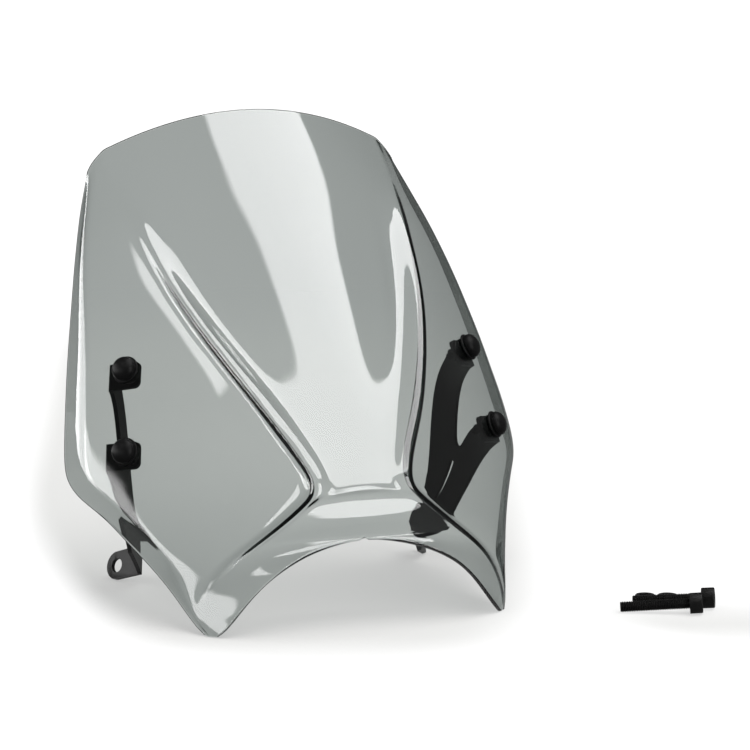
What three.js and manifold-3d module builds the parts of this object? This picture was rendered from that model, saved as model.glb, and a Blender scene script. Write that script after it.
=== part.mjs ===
// Fly screen for a naked motorcycle with a round headlight.
// A tinted acrylic screen stands on two steel brackets, held by four capped M5 screws in rubber bushes.
// Two M8 x 50 socket-head bolts and two spring lock washers for the lugs lie beside it.
// Millimetres, +Z up, the front of the screen faces -Y, and the screen's two leg tips and the two
// bracket lugs stand on the ground, z = 0.  The pieces are laid out from the screen's centre plane,
// x = 0, and the set is then moved so that its origin is the middle of the ground it covers.
import * as THREE from "three";
import { mergeVertices } from "three/addons/utils/BufferGeometryUtils.js";
import Module from "manifold-3d";

// ---------------------------------------------------------------- main sizes
const sheetThick = 3.0;
const plateThick = 3.0; // bracket steel
const bore = 5.7; // through the cup washer, the bush and the nut

const looks = {
  acrylic: { color: 0x6f7a7c, roughness: 0.05, metalness: 0 },
  coat: { color: 0x151515, roughness: 0.6, metalness: 0.1 },
  gloss: { color: 0x0b0b0c, roughness: 0.2, metalness: 0 },
  rubber: { color: 0x121212, roughness: 0.85, metalness: 0 },
  steel: { color: 0x1a1a1b, roughness: 0.4, metalness: 0.9 },
  oxide: { color: 0x101010, roughness: 0.45, metalness: 0.8 },
};

// ---------------------------------------------------------------- vectors as [x, y, z]
const add = (one, two) => [one[0] + two[0], one[1] + two[1], one[2] + two[2]];
const sub = (one, two) => [one[0] - two[0], one[1] - two[1], one[2] - two[2]];
const mul = (one, factor) => [one[0] * factor, one[1] * factor, one[2] * factor];
const dot = (one, two) => one[0] * two[0] + one[1] * two[1] + one[2] * two[2];
const len = (one) => Math.hypot(one[0], one[1], one[2]);
const unit = (one) => mul(one, 1 / len(one));
const cross = (one, two) => [
  one[1] * two[2] - one[2] * two[1],
  one[2] * two[0] - one[0] * two[2],
  one[0] * two[1] - one[1] * two[0],
];
const mix = (from, to, share) => add(mul(from, 1 - share), mul(to, share));
const { clamp, smoothstep } = THREE.MathUtils;

// Uniform cubic B-spline over a list of points.  It passes through the last one, and through the first
// one unless another point is given to come before it.
function spline(points, at, before = sub(mul(points[0], 2), points[1])) {
  const last = points.length - 1;
  const place = clamp(at, 0, last);
  const span = Math.min(Math.floor(place), last - 1);
  const x = place - span;
  const point = (i) => {
    if (i < 0) return before;
    return i > last ? sub(mul(points[last], 2), points[last - 1]) : points[i];
  };
  const weights = [
    (1 - x) ** 3 / 6,
    (3 * x * x * x - 6 * x * x + 4) / 6,
    (-3 * x * x * x + 3 * x * x + 3 * x + 1) / 6,
    (x * x * x) / 6,
  ];
  return add(
    add(mul(point(span - 1), weights[0]), mul(point(span), weights[1])),
    add(mul(point(span + 1), weights[2]), mul(point(span + 2), weights[3])),
  );
}

// ---------------------------------------------------------------- the formed sheet: stations
// The right half of the outer face, from the top edge down to the leg tip.  Each row runs from the
// centre line (or, from row ARCH on, from the headlight arch) to the cut side edge:
// start, crest of the pressed rib, depth of the rib step, bulge of the side panel,
// fold of the return flange, cut edge.
const rows = [
  [[0, 240, 342.2], [107, 255, 315.5], 0, 0, [119.5, 256, 303.5], [121.8, 254.5, 298.5]],
  [[0, 217.5, 324], [107.5, 232, 298], 0, 0.5, [125.5, 243, 288], [126.4, 249.5, 284]],
  [[0, 190, 302], [106.8, 209, 282.5], 0, 1, [131, 230, 272], [131.8, 242, 269]],
  [[0, 160.5, 277.5], [103.9, 184, 266.5], 0.4, 1.5, [137.2, 217.5, 256], [138, 229.5, 251.5]],
  [[0, 128.5, 251.5], [99.6, 154.5, 243.7], 2, 1.5, [143.3, 202.2, 236.2], [145.3, 214.7, 227.6]],
  [[0, 102.5, 229], [93.6, 125.5, 222.6], 3.4, 1.5, [149, 183.5, 212.5], [151.2, 202, 204]],
  [[0, 78.5, 207.5], [85.4, 97.8, 202.6], 4.8, 1.8, [153.6, 167.5, 189.5], [156.6, 191, 182]],
  [[0, 55.5, 186], [75.6, 71.8, 183.1], 6.2, 2.8, [157.9, 154.5, 169.1], [161.7, 180, 160]],
  [[0, 35, 165], [64.9, 47.9, 163.8], 7.6, 4.5, [161.4, 145.5, 151], [165.8, 169.8, 140.5]],
  [[0, 17.5, 144.5], [53.7, 26.2, 144.2], 9.2, 7, [164.2, 137.5, 137], [169.2, 161.5, 122.5]],
  [[0, 3.0, 124], [41.0, 9.7, 123.2], 11, 9, [166.8, 128.3, 120], [172.3, 153, 105]],
  [[0, -9.5, 108], [33.6, -6.2, 106.6], 13, 9.5, [168.4, 119, 102], [174.6, 142, 90]],
  [[0, -16.5, 99.5], [36.5, -11.5, 98], 13.5, 8.5, [165.6, 109, 90.5], [169.4, 130, 79]],
  [[0, -9, 93.5], [43, -11.5, 92], 13, 7.5, [158.5, 96.5, 83.5], [161.5, 116.5, 72]],
  [[0, -15.5, 86], [51, -10.5, 85.5], 12, 6, [150.5, 81.5, 75], [154, 102.5, 64.5]],
  [[0, -16, 76], [62.5, -8, 76], 10.5, 4.5, [143, 67, 66.5], [147, 88.5, 54.5]],
  [[0, -12, 66.8], [76, -3.5, 65], 9, 3.5, [136.8, 54, 58.6], [140.7, 75.5, 46.5]],
  [[29, -13, 62.9], [88.5, 1.5, 55], 8, 2.5, [132, 43.5, 51.5], [134.5, 62.5, 37.8]],
  [[50.5, -15.9, 56.2], [99, 6, 45], 7, 2, [128.3, 35, 42.5], [129.8, 52, 30.5]],
  [[69.5, -17.3, 45.6], [107, 8.5, 34], 6, 1.5, [125.3, 28.5, 32.5], [126.5, 40, 24]],
  [[84.5, -14, 31.2], [112, 8.5, 23.5], 5, 1, [122.9, 22.5, 23], [123.8, 29, 17.5]],
  [[96.5, -10.5, 15.5], [114, 6, 13.8], 3.4, 0.5, [120.2, 16.5, 13.5], [120.8, 19.5, 11]],
  [[104, -8, 5.9], [113, 2.2, 5.5], 1.6, 0.3, [117, 9.5, 5.9], [117.6, 11.5, 5.2]],
  [[108.2, -4.2, 1.6], [111.4, -0.2, 0.9], 0.6, 0, [113.8, 3.3, 1.2], [114.8, 5, 1.8]],
];
const ARCH = 16;
const LAST_ROW = rows.length - 1;

const asVector = (value) => (Array.isArray(value) ? value : [value, 0, 0]);
const column = (i) => rows.map((row) => asVector(row[i]));
const columns = {
  crest: column(1),
  depth: column(2),
  bulge: column(3),
  fold: column(4),
  edge: column(5),
};
const starts = column(0);
const archLine = starts.slice(ARCH);
const archMirror = [-archLine[1][0], archLine[1][1], archLine[1][2]];
const centreLine = [...starts.slice(0, ARCH), spline(archLine, 0, archMirror)];

// How the ribs are formed, one value to a row.
const ribRows = {
  // how far the middle panel flattens before the rib
  flatten: [
    0, 0, 0.15, 0.4, 0.6, 0.8, 1.0, 1.25, 1.4, 1.3, 1.0, 0.8,
    0.5, 0.2, 0, 0, 0, 0, 0, 0, 0, 0, 0, 0,
  ],
  // how high the rib stands
  bead: [
    0, 0, 0, 0.8, 2.4, 3.8, 4.9, 5.7, 6.2, 6.4, 6.2, 5.0,
    3.0, 1.8, 1.3, 1.0, 0.7, 0.4, 0.2, 0, 0, 0, 0, 0,
  ],
  // how hollow the side panel is just outside it
  hollow: [
    0, 0, 0, 0.5, 1.5, 1.9, 2.2, 2.5, 2.9, 3.0, 2.4, 1.0,
    0.3, 0, 0, 0, 0, 0, 0, 0, 0, 0, 0, 0,
  ],
  // how deep the valley inside it is, as a share of the bead
  valley: [
    0, 0, 0.4, 0.4, 0.45, 0.4, 0.3, 0.15, 0, 0, 0, 0,
    0, 0, 0, 0, 0, 0, 0, 0, 0, 0, 0, 0,
  ],
  // how wide its inner flank is
  flank: [
    8, 8, 9, 11, 13, 15, 17, 19, 21, 22, 21, 17,
    12, 9, 8, 7, 7, 6, 6, 5, 5, 5, 5, 5,
  ],
};
for (const [name, values] of Object.entries(ribRows)) ribRows[name] = values.map(asVector);
const ribAt = (name, row) => spline(ribRows[name], row)[0];

// Sizes along a row, measured from the crest.
const ribShape = {
  outerFlank: 5.5,
  valleyAt: 19,
  valleyWide: 8,
  hollowStart: 4,
  hollowFade: 14,
};

// ---------------------------------------------------------------- the formed sheet: surface
// A place on the face is a row number, which may be fractional, and a place across:
// 0 start, 1 crest, 2 foot of the rib, 3 fold, 4 cut edge.
const FOLD_PANEL = 3; // the last panel, from fold to cut edge

// The four panels of a row before rounding, each a function of the share 0..1 of its width.
function panelsAt(row) {
  const isWhole = row <= ARCH;
  const start = isWhole ? spline(centreLine, row) : spline(archLine, row - ARCH, archMirror);
  const crest = spline(columns.crest, row);
  const depth = spline(columns.depth, row)[0];
  const bulge = spline(columns.bulge, row)[0];
  const fold = spline(columns.fold, row);
  const edge = spline(columns.edge, row);

  const outward = unit([fold[0] - crest[0], fold[1] - crest[1], 0]);
  const foot = [
    crest[0] + (0.38 * depth + 1.4) * 0.9 + outward[0] * 0.4,
    crest[1] + depth + 1.4 * outward[1],
    crest[2] + (fold[2] - crest[2]) * 0.03 - 0.02 * depth,
  ];
  const bulgeWay = unit(cross(sub(fold, foot), [0, 0, 1]));

  const flatten = ribAt("flatten", row);
  const middle = (share) => {
    const rise = (1 - flatten) * share * share + flatten * smoothstep(share, 0, 1);
    return [
      start[0] + (crest[0] - start[0]) * share,
      start[1] + (crest[1] - start[1]) * rise,
      start[2] + (crest[2] - start[2]) * rise,
    ];
  };
  // beside the arch the skirt keeps some of the bow of the whole rows, fading out over five rows
  const bow = (crest[1] - start[1]) * 0.25 * Math.max(0, 1 - (row - ARCH) / 5);
  const hump = (share) => 4 * share * (1 - share);
  const skirt = (share) => add(mix(start, crest, share), [0, -hump(share) * bow, 0]);

  return [
    isWhole ? middle : skirt,
    (share) => mix(crest, foot, share),
    (share) => add(mix(foot, fold, share), mul(bulgeWay, hump(share) * bulge)),
    (share) => mix(fold, edge, share),
  ];
}

// A row as a polyline: its points, the arc length at each, and the arc length at places 0 to 4.
const PANEL_STEPS = [24, 6, 24, 24];
const rowCache = new Map();
function rowLine(row) {
  const key = row.toFixed(6);
  if (rowCache.has(key)) return rowCache.get(key);
  const panels = panelsAt(row);
  const points = [panels[0](0)];
  const arcs = [0];
  const marks = [0];
  panels.forEach((panel, i) => {
    for (let j = 1; j <= PANEL_STEPS[i]; j++) {
      const point = panel(j / PANEL_STEPS[i]);
      arcs.push(arcs.at(-1) + len(sub(point, points.at(-1))));
      points.push(point);
    }
    marks.push(arcs.at(-1));
  });
  const line = { points, arcs, marks, isWhole: row <= ARCH };
  rowCache.set(key, line);
  return line;
}

// The point at an arc length: mirrored beyond the centre line, straight on beyond a cut edge.
function pointAlong(line, arc) {
  const { points, arcs, isWhole } = line;
  if (arc < 0) {
    if (isWhole) {
      const [x, y, z] = pointAlong(line, -arc);
      return [-x, y, z];
    }
    return add(points[0], mul(unit(sub(points[1], points[0])), arc));
  }
  const last = points.length - 1;
  if (arc >= arcs[last]) {
    return add(points[last], mul(unit(sub(points[last], points[last - 1])), arc - arcs[last]));
  }
  let low = 0;
  let high = last;
  while (high - low > 1) {
    const middle = (low + high) >> 1;
    if (arcs[middle] <= arc) low = middle;
    else high = middle;
  }
  return mix(points[low], points[high], (arc - arcs[low]) / (arcs[high] - arcs[low]));
}

function arcAt({ marks }, across) {
  const i = Math.min(Math.floor(across), FOLD_PANEL);
  return marks[i] + (across - i) * (marks[i + 1] - marks[i]);
}
function acrossAt({ marks }, arc) {
  let i = 0;
  while (i < FOLD_PANEL && arc > marks[i + 1]) i++;
  return i + (arc - marks[i]) / (marks[i + 1] - marks[i]);
}

// Formed edges are rounded by averaging along the row over a reach to each side.
const rounding = {
  reach: 6,
  extraAtFold: 5,
  foldFrom: 2.4, // place across where the extra reach begins
  foldFull: 2.85, // and where it is complete
  maxShare: 0.16, // longest reach, as a share of the row
  samples: 12, // to each side
};
function plainPoint(row, across) {
  const line = rowLine(row);
  const arc = arcAt(line, across);
  const extra = rounding.extraAtFold * smoothstep(across, rounding.foldFrom, rounding.foldFull);
  const reach = Math.min(rounding.reach + extra, rounding.maxShare * line.marks[4]);
  let sum = [0, 0, 0];
  let total = 0;
  for (let i = -rounding.samples; i <= rounding.samples; i++) {
    const offset = i / rounding.samples;
    const weight = (1 - offset * offset) ** 2;
    sum = add(sum, mul(pointAlong(line, arc + offset * reach), weight));
    total += weight;
  }
  const point = mul(sum, 1 / total);
  if (line.isWhole && across === 0) point[0] = 0;
  return point;
}

// Outward normal of a surface by differences.  On the centre line a row is its own mirror image,
// so there the way across is +x.
const NORMAL_STEP = 0.02;
function normalOf(surface, row, across) {
  const above = surface(Math.max(0, row - NORMAL_STEP), across);
  const below = surface(Math.min(LAST_ROW, row + NORMAL_STEP), across);
  let sideways = [1, 0, 0];
  if (across !== 0 || row > ARCH) {
    sideways = sub(
      surface(row, Math.min(4, across + NORMAL_STEP)),
      surface(row, Math.max(0, across - NORMAL_STEP)),
    );
  }
  return unit(cross(sub(below, above), sideways));
}

// Height of the rib over the plain face.
function ribHeight(row, across) {
  const line = rowLine(row);
  const beyond = arcAt(line, across) - line.marks[1];
  const bead = ribAt("bead", row);
  const valley = ribAt("valley", row);
  const bell = (x) => Math.exp(-x * x);
  const { outerFlank, valleyAt, valleyWide, hollowStart, hollowFade } = ribShape;
  if (beyond < 0) {
    const flank = Math.max(-1, beyond / ribAt("flank", row));
    const rise = 0.5 * (1 + Math.cos(Math.PI * flank));
    return bead * (rise - valley * bell((beyond + valleyAt) / valleyWide));
  }
  const crestHeight = bead * (1 - valley * bell(valleyAt / valleyWide));
  const hollow = (1 - bell(beyond / hollowStart)) * Math.exp(-beyond / hollowFade);
  return crestHeight * bell(beyond / outerFlank) - ribAt("hollow", row) * hollow;
}

const sheetPoint = (row, across) =>
  add(plainPoint(row, across), mul(normalOf(plainPoint, row, across), ribHeight(row, across)));
const sheetNormal = (row, across) => normalOf(sheetPoint, row, across);

// The thickness is laid off along the normal averaged over a few millimetres of the row, since the
// sheet thins a little over the sharp crest of the rib.
const averaging = { reach: 8, step: 2, fade: 5 };
function thicknessWay(row, across) {
  const line = rowLine(row);
  const arc = arcAt(line, across);
  let sum = [0, 0, 0];
  for (let offset = -averaging.reach; offset <= averaging.reach; offset += averaging.step) {
    const sample = arc + offset;
    if (sample > line.marks[4] || (sample < 0 && !line.isWhole)) continue;
    const [x, y, z] = sheetNormal(row, acrossAt(line, Math.abs(sample)));
    const weight = Math.exp(-((offset / averaging.fade) ** 2));
    sum = add(sum, mul([sample < 0 ? -x : x, y, z], weight));
  }
  if (line.isWhole && across === 0) sum[0] = 0;
  return unit(sum);
}

// Places of the mesh points: whole rows, with half rows between 3 and 17, and one more near the tip.
const meshRows = [];
for (let i = 0; i < LAST_ROW; i++) {
  meshRows.push(i);
  if (i >= 3 && i < 17) meshRows.push(i + 0.5);
}
meshRows.push(22.6, LAST_ROW);
const meshAcross = [
  0, 0.2, 0.4, 0.55, 0.67, 0.77, 0.85, 0.92, 0.97,
  1, 1.33, 1.67,
  2, 2.06, 2.15, 2.3, 2.5, 2.7, 2.85, 2.93,
  3, 3.07, 3.2, 3.5, 4,
];

function sheetGeometry() {
  const grid = meshRows.map((row) =>
    meshAcross.map((across) => {
      const outer = sheetPoint(row, across);
      return { outer, inner: sub(outer, mul(thicknessWay(row, across), sheetThick)) };
    }),
  );
  const outerFace = [];
  const innerFace = [];
  const triangles = [];
  let rightIds;
  for (const side of [1, -1]) {
    const ids = grid.map((places, i) =>
      places.map(({ outer, inner }, j) => {
        // the two halves share the points of the centre line
        if (side < 0 && j === 0 && meshRows[i] <= ARCH) return rightIds[i][0];
        outerFace.push([outer[0] * side, outer[1], outer[2]]);
        innerFace.push([inner[0] * side, inner[1], inner[2]]);
        return outerFace.length - 1;
      }),
    );
    rightIds ??= ids;
    for (let i = 0; i + 1 < meshRows.length; i++) {
      for (let j = 0; j + 1 < meshAcross.length; j++) {
        const here = ids[i][j];
        const under = ids[i + 1][j];
        const far = ids[i + 1][j + 1];
        const beside = ids[i][j + 1];
        const pair = (i + j) % 2
          ? [[here, under, far], [here, far, beside]]
          : [[here, under, beside], [under, far, beside]];
        for (const [first, second, third] of pair) {
          triangles.push(side > 0 ? [first, second, third] : [first, third, second]);
        }
      }
    }
  }

  const count = outerFace.length;
  const index = [];
  const edges = new Map();
  for (const triangle of triangles) {
    const [first, second, third] = triangle;
    index.push(first, second, third);
    index.push(first + count, third + count, second + count);
    for (let i = 0; i < 3; i++) {
      const from = triangle[i];
      const to = triangle[(i + 1) % 3];
      edges.set(`${from}:${to}`, [from, to]);
    }
  }
  // an edge that no neighbour shares is on the rim, and gets a wall through the thickness
  for (const [from, to] of edges.values()) {
    if (edges.has(`${to}:${from}`)) continue;
    index.push(to, from, from + count, to, from + count, to + count);
  }
  const geometry = new THREE.BufferGeometry();
  const positions = [...outerFace, ...innerFace].flat();
  geometry.setAttribute("position", new THREE.Float32BufferAttribute(positions, 3));
  geometry.setIndex(index);
  return geometry;
}

// ---------------------------------------------------------------- solids
const wasm = await Module();
wasm.setup();

function solid(source) {
  const geometry = source.index ? source.toNonIndexed() : source.clone();
  geometry.deleteAttribute("normal");
  geometry.deleteAttribute("uv");
  const merged = mergeVertices(geometry, 1e-4);
  return new wasm.Manifold(
    new wasm.Mesh({
      numProp: 3,
      vertProperties: new Float32Array(merged.attributes.position.array),
      triVerts: new Uint32Array(merged.index.array),
    }),
  );
}
function geometryOf(made) {
  const { numVert, numProp, vertProperties, triVerts } = made.getMesh();
  const positions = new Float32Array(numVert * 3);
  for (let i = 0; i < numVert; i++) {
    positions.set(vertProperties.subarray(i * numProp, i * numProp + 3), i * 3);
  }
  const geometry = new THREE.BufferGeometry();
  geometry.setAttribute("position", new THREE.BufferAttribute(positions, 3));
  geometry.setIndex(new THREE.BufferAttribute(new Uint32Array(triVerts), 1));
  return geometry;
}
const mirrored = (made) => made.mirror([1, 0, 0]);

function placing(at, ...axes) {
  const [localX, localY, localZ] = axes.map((axis) => new THREE.Vector3(...axis));
  return new THREE.Matrix4().makeBasis(localX, localY, localZ).setPosition(...at);
}
// A frame with local z along axis and local x as near as possible to lean.
function frame(at, axis, lean = [0, 0, 1]) {
  const localZ = unit(axis);
  const wanted = Math.abs(dot(localZ, unit(lean))) > 0.999 ? [1, 0, 0] : lean;
  const localX = unit(sub(wanted, mul(localZ, dot(wanted, localZ))));
  return placing(at, localX, cross(localZ, localX), localZ);
}
// A turned solid from [radius, height] pairs, listed anticlockwise seen with the axis on the left.
function turned(profile, sides, at, axis, lean) {
  const points = profile.map(([radius, height]) => new THREE.Vector2(radius, height));
  const geometry = new THREE.LatheGeometry(points, sides);
  geometry.rotateX(Math.PI / 2);
  geometry.applyMatrix4(frame(at, axis, lean));
  return solid(geometry);
}
function rod(radius, from, to, sides, at, axis, lean) {
  return turned([[0, from], [radius, from], [radius, to], [0, to]], sides, at, axis, lean);
}
function hexagon(flats, from, to, at, axis) {
  return rod(flats / Math.sqrt(3), from, to, 6, at, axis);
}
// A flat bracket plate with one hole.  The outline lies in the plane of two directions through a
// point, with half the thickness to each side.
function plate(outline, hole, at, along, up) {
  const points = (pairs) => pairs.map(([x, y]) => new THREE.Vector2(x, y));
  const shape = new THREE.Shape(points(outline));
  shape.holes.push(new THREE.Path(points(hole)));
  const geometry = new THREE.ExtrudeGeometry(shape, {
    depth: plateThick,
    bevelEnabled: false,
    steps: 1,
  });
  geometry.translate(0, 0, -plateThick / 2);
  geometry.applyMatrix4(placing(at, along, up, cross(along, up)));
  return solid(geometry);
}
// Points of an arc, both ends included.
function arcPoints([x, y], radius, from, to, steps) {
  return Array.from({ length: steps + 1 }, (_, i) => {
    const angle = from + ((to - from) * i) / steps;
    return [x + radius * Math.cos(angle), y + radius * Math.sin(angle)];
  });
}
const circle = (centre, radius, steps) =>
  arcPoints(centre, radius, 0, 2 * Math.PI, steps).slice(0, -1);

// ---------------------------------------------------------------- places of the fixings
const CAP_CENTRE_HIGH = 4.5; // height of a cap's centre above the outer face
// right side: centre of the cap, and the row where the search for its foot begins
const capCentres = {
  upper: { centre: [134.3, 123.8, 171.8], firstRow: 7.4 },
  lower: { centre: [145.3, 93.8, 118.2], firstRow: 10.6 },
};

// The point of the outer face under a cap, and the face's normal there, found by a pattern search
// over the side panel that halves its steps whenever no neighbour is nearer.
function findFixing({ centre, firstRow }) {
  const miss = (row, across) => {
    const raised = mul(sheetNormal(row, across), CAP_CENTRE_HIGH);
    return len(sub(add(sheetPoint(row, across), raised), centre));
  };
  let row = firstRow;
  let across = 2.7;
  let rowStep = 1.6;
  let acrossStep = 0.3;
  for (let round = 0; round < 26; round++) {
    let best = { miss: miss(row, across), row, across };
    for (const i of [-1, 0, 1]) {
      for (const j of [-1, 0, 1]) {
        const tryRow = row + i * rowStep;
        const tryAcross = clamp(across + j * acrossStep, 2.05, 2.97);
        const tryMiss = miss(tryRow, tryAcross);
        if (tryMiss < best.miss) best = { miss: tryMiss, row: tryRow, across: tryAcross };
      }
    }
    if (best.row === row && best.across === across) {
      rowStep /= 2;
      acrossStep /= 2;
    }
    row = best.row;
    across = best.across;
  }
  return { at: sheetPoint(row, across), axis: sheetNormal(row, across) };
}
const fixings = {
  upper: findFixing(capCentres.upper),
  lower: findFixing(capCentres.lower),
};

// ---------------------------------------------------------------- bracket, right side
// Main plate: a point in its middle plane and its directions, forward (towards -Y) and up.
const plateAt = [109.254, 169.108, 0];
const plateNormal = unit([0.862, 0.501, -0.07]);
const plateForward = unit([plateNormal[1], -plateNormal[0], 0]);
const plateUp = cross(plateForward, plateNormal);
const inPlate = (vector) => [dot(vector, plateForward), dot(vector, plateUp)];
const toPlate = (point) => inPlate(sub(point, plateAt));

// Lug: a rounded tongue folded out of the plate's lower end.  Its outline is in (down, out).
const lug = {
  at: add(plateAt, mul(plateUp, 14.03)),
  normal: unit([0.86, -0.38, 0.34]),
  holeDia: 10.6,
  endRadius: 10.6,
  reach: 23.4, // from the fold to the hole's centre
  foldTop: -15.5,
  foldBottom: 6.5,
};
lug.down = unit(cross(plateNormal, lug.normal));
lug.out = cross(lug.normal, lug.down);
lug.foldEnds = [lug.foldTop, lug.foldBottom].map((at) => add(lug.at, mul(lug.down, at)));
// the hole's centre, low enough for the rounded end to stand on z = 0
const lugEndDrop =
  Math.sqrt(1 - lug.normal[2] ** 2) * lug.endRadius + (plateThick / 2) * lug.normal[2];
lug.centre = [(lug.at[2] + lug.out[2] * lug.reach - lugEndDrop) / -lug.down[2], lug.reach];

function lugOutline() {
  // angle at which the tangent from a fold end touches the rounded end
  const touch = (foldEnd, side) => {
    const x = foldEnd - lug.centre[0];
    const y = -lug.centre[1];
    return Math.atan2(y, x) + side * Math.acos(lug.endRadius / Math.hypot(x, y));
  };
  const from = touch(lug.foldTop, -1);
  let to = touch(lug.foldBottom, 1);
  while (to > from) to -= 2 * Math.PI;
  return [
    [lug.foldTop, 0],
    ...arcPoints(lug.centre, lug.endRadius, from, to, 14),
    [lug.foldBottom, 0],
  ];
}

// Tabs: folded inward from the plate to lie behind the sheet, one for each screw.
const tab = {
  near: 8.5, // its outer face behind the outer face of the sheet
  end: 7.0, // length beyond its hole
  low: -11.0,
  high: 9.0,
  cornerRadius: 4.5,
  holeRadius: bore / 2 + 0.15,
};
// root: the point of the fold level with the hole; reach: from the root to the hole's centre
function tabFrame({ at, axis }) {
  const holeCentre = sub(at, mul(axis, tab.near + plateThick / 2));
  const up = unit(cross(axis, plateNormal));
  const inward = cross(axis, up);
  const reach = dot(sub(holeCentre, plateAt), plateNormal) / dot(inward, plateNormal);
  return { up, inward, reach, root: sub(holeCentre, mul(inward, reach)) };
}
const tabs = { upper: tabFrame(fixings.upper), lower: tabFrame(fixings.lower) };
const foldPoint = ({ root, up }, height) => add(root, mul(up, height));
const tabFold = (place) => [
  toPlate(foldPoint(place, tab.high)),
  toPlate(foldPoint(place, tab.low)),
];

// Main plate outline and its slot, in (forward, up).
const plateOutline = [
  toPlate(lug.foldEnds[0]),
  // rear edge, going up
  [-4.4, 35.5], [0.2, 43], [4, 52.6], [6.6, 61.5], [8, 70.5], [8.8, 84], [9, 97],
  [9.2, 109.4], [10, 124], [11.4, 135.2], [14.2, 146.6], [18.6, 156.3], [23.6, 164], [29.2, 169.6],
  ...tabFold(tabs.upper),
  // down between the tabs and out along the lower arm
  [39.6, 150.3], [34.9, 141.4], [32.7, 132.1], [31.7, 122], [31.5, 112], [31.8, 102],
  [32.6, 96], [33.8, 93.4], [35.6, 92.2], [37.4, 92.9], [39.2, 95.4], [44.2, 103.6],
  [48.4, 108.4], [53, 112.2],
  ...tabFold(tabs.lower),
  // front edge, going down
  [64.4, 94.2], [59.3, 87.8], [55, 81.3], [50.6, 73.4], [46.4, 65.6], [42.4, 58.4],
  [38.4, 51.4], [33.6, 42.8], [29.6, 35.6], [28.4, 32.4], [26.6, 29.9], [24.2, 28],
  [18, 22.7], [10.4, 16], [6, 11.6],
  toPlate(lug.foldEnds[1]),
];
const plateSlot = [
  [31.9, 79.2], [31.6, 80.6], [30.4, 81.2], [29.2, 80.6], [28.7, 79.4], [26.2, 71.6], [22.8, 63],
  [19.2, 55.8], [15.9, 50], [15.7, 48.9], [16.8, 49.2], [20.6, 54.6], [25.2, 62.2], [29.2, 71],
];

// A round bar along a fold joins the two plates that meet there.
function foldBar(from, to) {
  const run = sub(to, from);
  return rod(plateThick / 2, 0, len(run), 12, from, run, plateNormal);
}
function tabPlate({ root, up, inward, reach }) {
  const radius = tab.cornerRadius;
  const cornerAt = reach + tab.end - radius;
  const outline = [
    [0, tab.low],
    ...arcPoints([cornerAt, tab.low + radius], radius, -Math.PI / 2, 0, 5),
    ...arcPoints([cornerAt, tab.high - radius], radius, 0, Math.PI / 2, 5),
    [0, tab.high],
  ];
  return plate(outline, circle([reach, 0], tab.holeRadius, 20), root, inward, up);
}
function bracket() {
  const lugHole = circle(lug.centre, lug.holeDia / 2, 22);
  let made = wasm.Manifold.union([
    plate(plateOutline, plateSlot, plateAt, plateForward, plateUp),
    plate(lugOutline(), lugHole, lug.at, lug.down, lug.out),
    foldBar(...lug.foldEnds),
  ]);
  for (const place of Object.values(tabs)) {
    made = wasm.Manifold.union([
      made,
      tabPlate(place),
      foldBar(foldPoint(place, tab.low), foldPoint(place, tab.high)),
    ]);
  }
  return made;
}

// ---------------------------------------------------------------- fixing stacks
// Heights are along the screw's axis from the outer face of the sheet, outward positive.

// Cap: a shallow dome over a short wall, hollow below.
function cap({ at, axis }) {
  const radius = 9;
  const inside = 7;
  const base = 2.2;
  const top = 9.4;
  const spring = base + 1.4; // where the dome begins
  const dome = [];
  for (let i = 1; i <= 4; i++) {
    const angle = (i * Math.PI) / 2 / 5;
    dome.push([radius * Math.cos(angle), spring + (top - spring) * Math.sin(angle)]);
  }
  const profile = [
    [inside, base], [radius, base], [radius + 0.1, base + 1.2],
    ...dome, [0, top],
    [0, top - 2], [4.6, top - 2.9], [inside, base + 2.4], [inside, base],
  ];
  return turned(profile, 22, at, axis);
}

// Cup washer: a disc with a raised ring that stands inside the cap.
function cupWasher({ at, axis }) {
  const radius = 20.6 / 2;
  const bottom = 0.3;
  const top = 1.9;
  const ring = { inner: 5.4, outer: 6.6, top: 4 };
  const profile = [
    [bore / 2, bottom], [radius - 0.5, bottom], [radius, 0.8], [radius - 0.3, top],
    [ring.outer, top], [ring.outer, ring.top], [ring.inner, ring.top], [ring.inner, top],
    [bore / 2, top], [bore / 2, bottom],
  ];
  return turned(profile, 20, at, axis);
}

// M5 screw with a low rounded head and a hexagon socket.
function screw({ at, axis }) {
  const shank = 5 / 2;
  const head = 9.4 / 2;
  const end = -19;
  const headBase = 2.2;
  const headTop = 4.9;
  const profile = [
    [0, end], [shank - 0.5, end], [shank, end + 0.6], [shank, headBase],
    [head, headBase], [head, 2.8], [head - 0.9, 4.2], [head - 2.2, headTop], [0, headTop],
  ];
  return turned(profile, 14, at, axis).subtract(hexagon(3, 3.2, 6, at, axis));
}

// Rubber bush: a neck through the sheet and a wide collar behind it.
function bush({ at, axis }) {
  const collar = 16.6 / 2;
  const neck = 9 / 2;
  const back = -8.2;
  const shoulder = -3.6;
  const top = -0.3;
  const profile = [
    [bore / 2, back], [collar - 0.8, back], [collar, back + 0.9],
    [collar, shoulder - 0.6], [collar - 0.6, shoulder], [neck, shoulder], [neck, top],
    [bore / 2, top], [bore / 2, back],
  ];
  return turned(profile, 18, at, axis);
}

// Plain hexagon nut behind the bracket tab.
function nut({ at, axis }) {
  const top = -(tab.near + plateThick + 0.3);
  const bottom = top - 4.7;
  const hole = rod(bore / 2, bottom - 1, top + 1, 14, at, axis);
  return hexagon(8, bottom, top, at, axis).subtract(hole);
}

// ---------------------------------------------------------------- windscreen
function windscreen() {
  const holeDia = 9.8; // for the neck of the bush
  let made = solid(sheetGeometry());
  for (const { at, axis } of Object.values(fixings)) {
    const drill = rod(holeDia / 2, -9, 6, 24, at, axis);
    made = made.subtract(drill).subtract(mirrored(drill));
  }
  return made;
}

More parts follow.
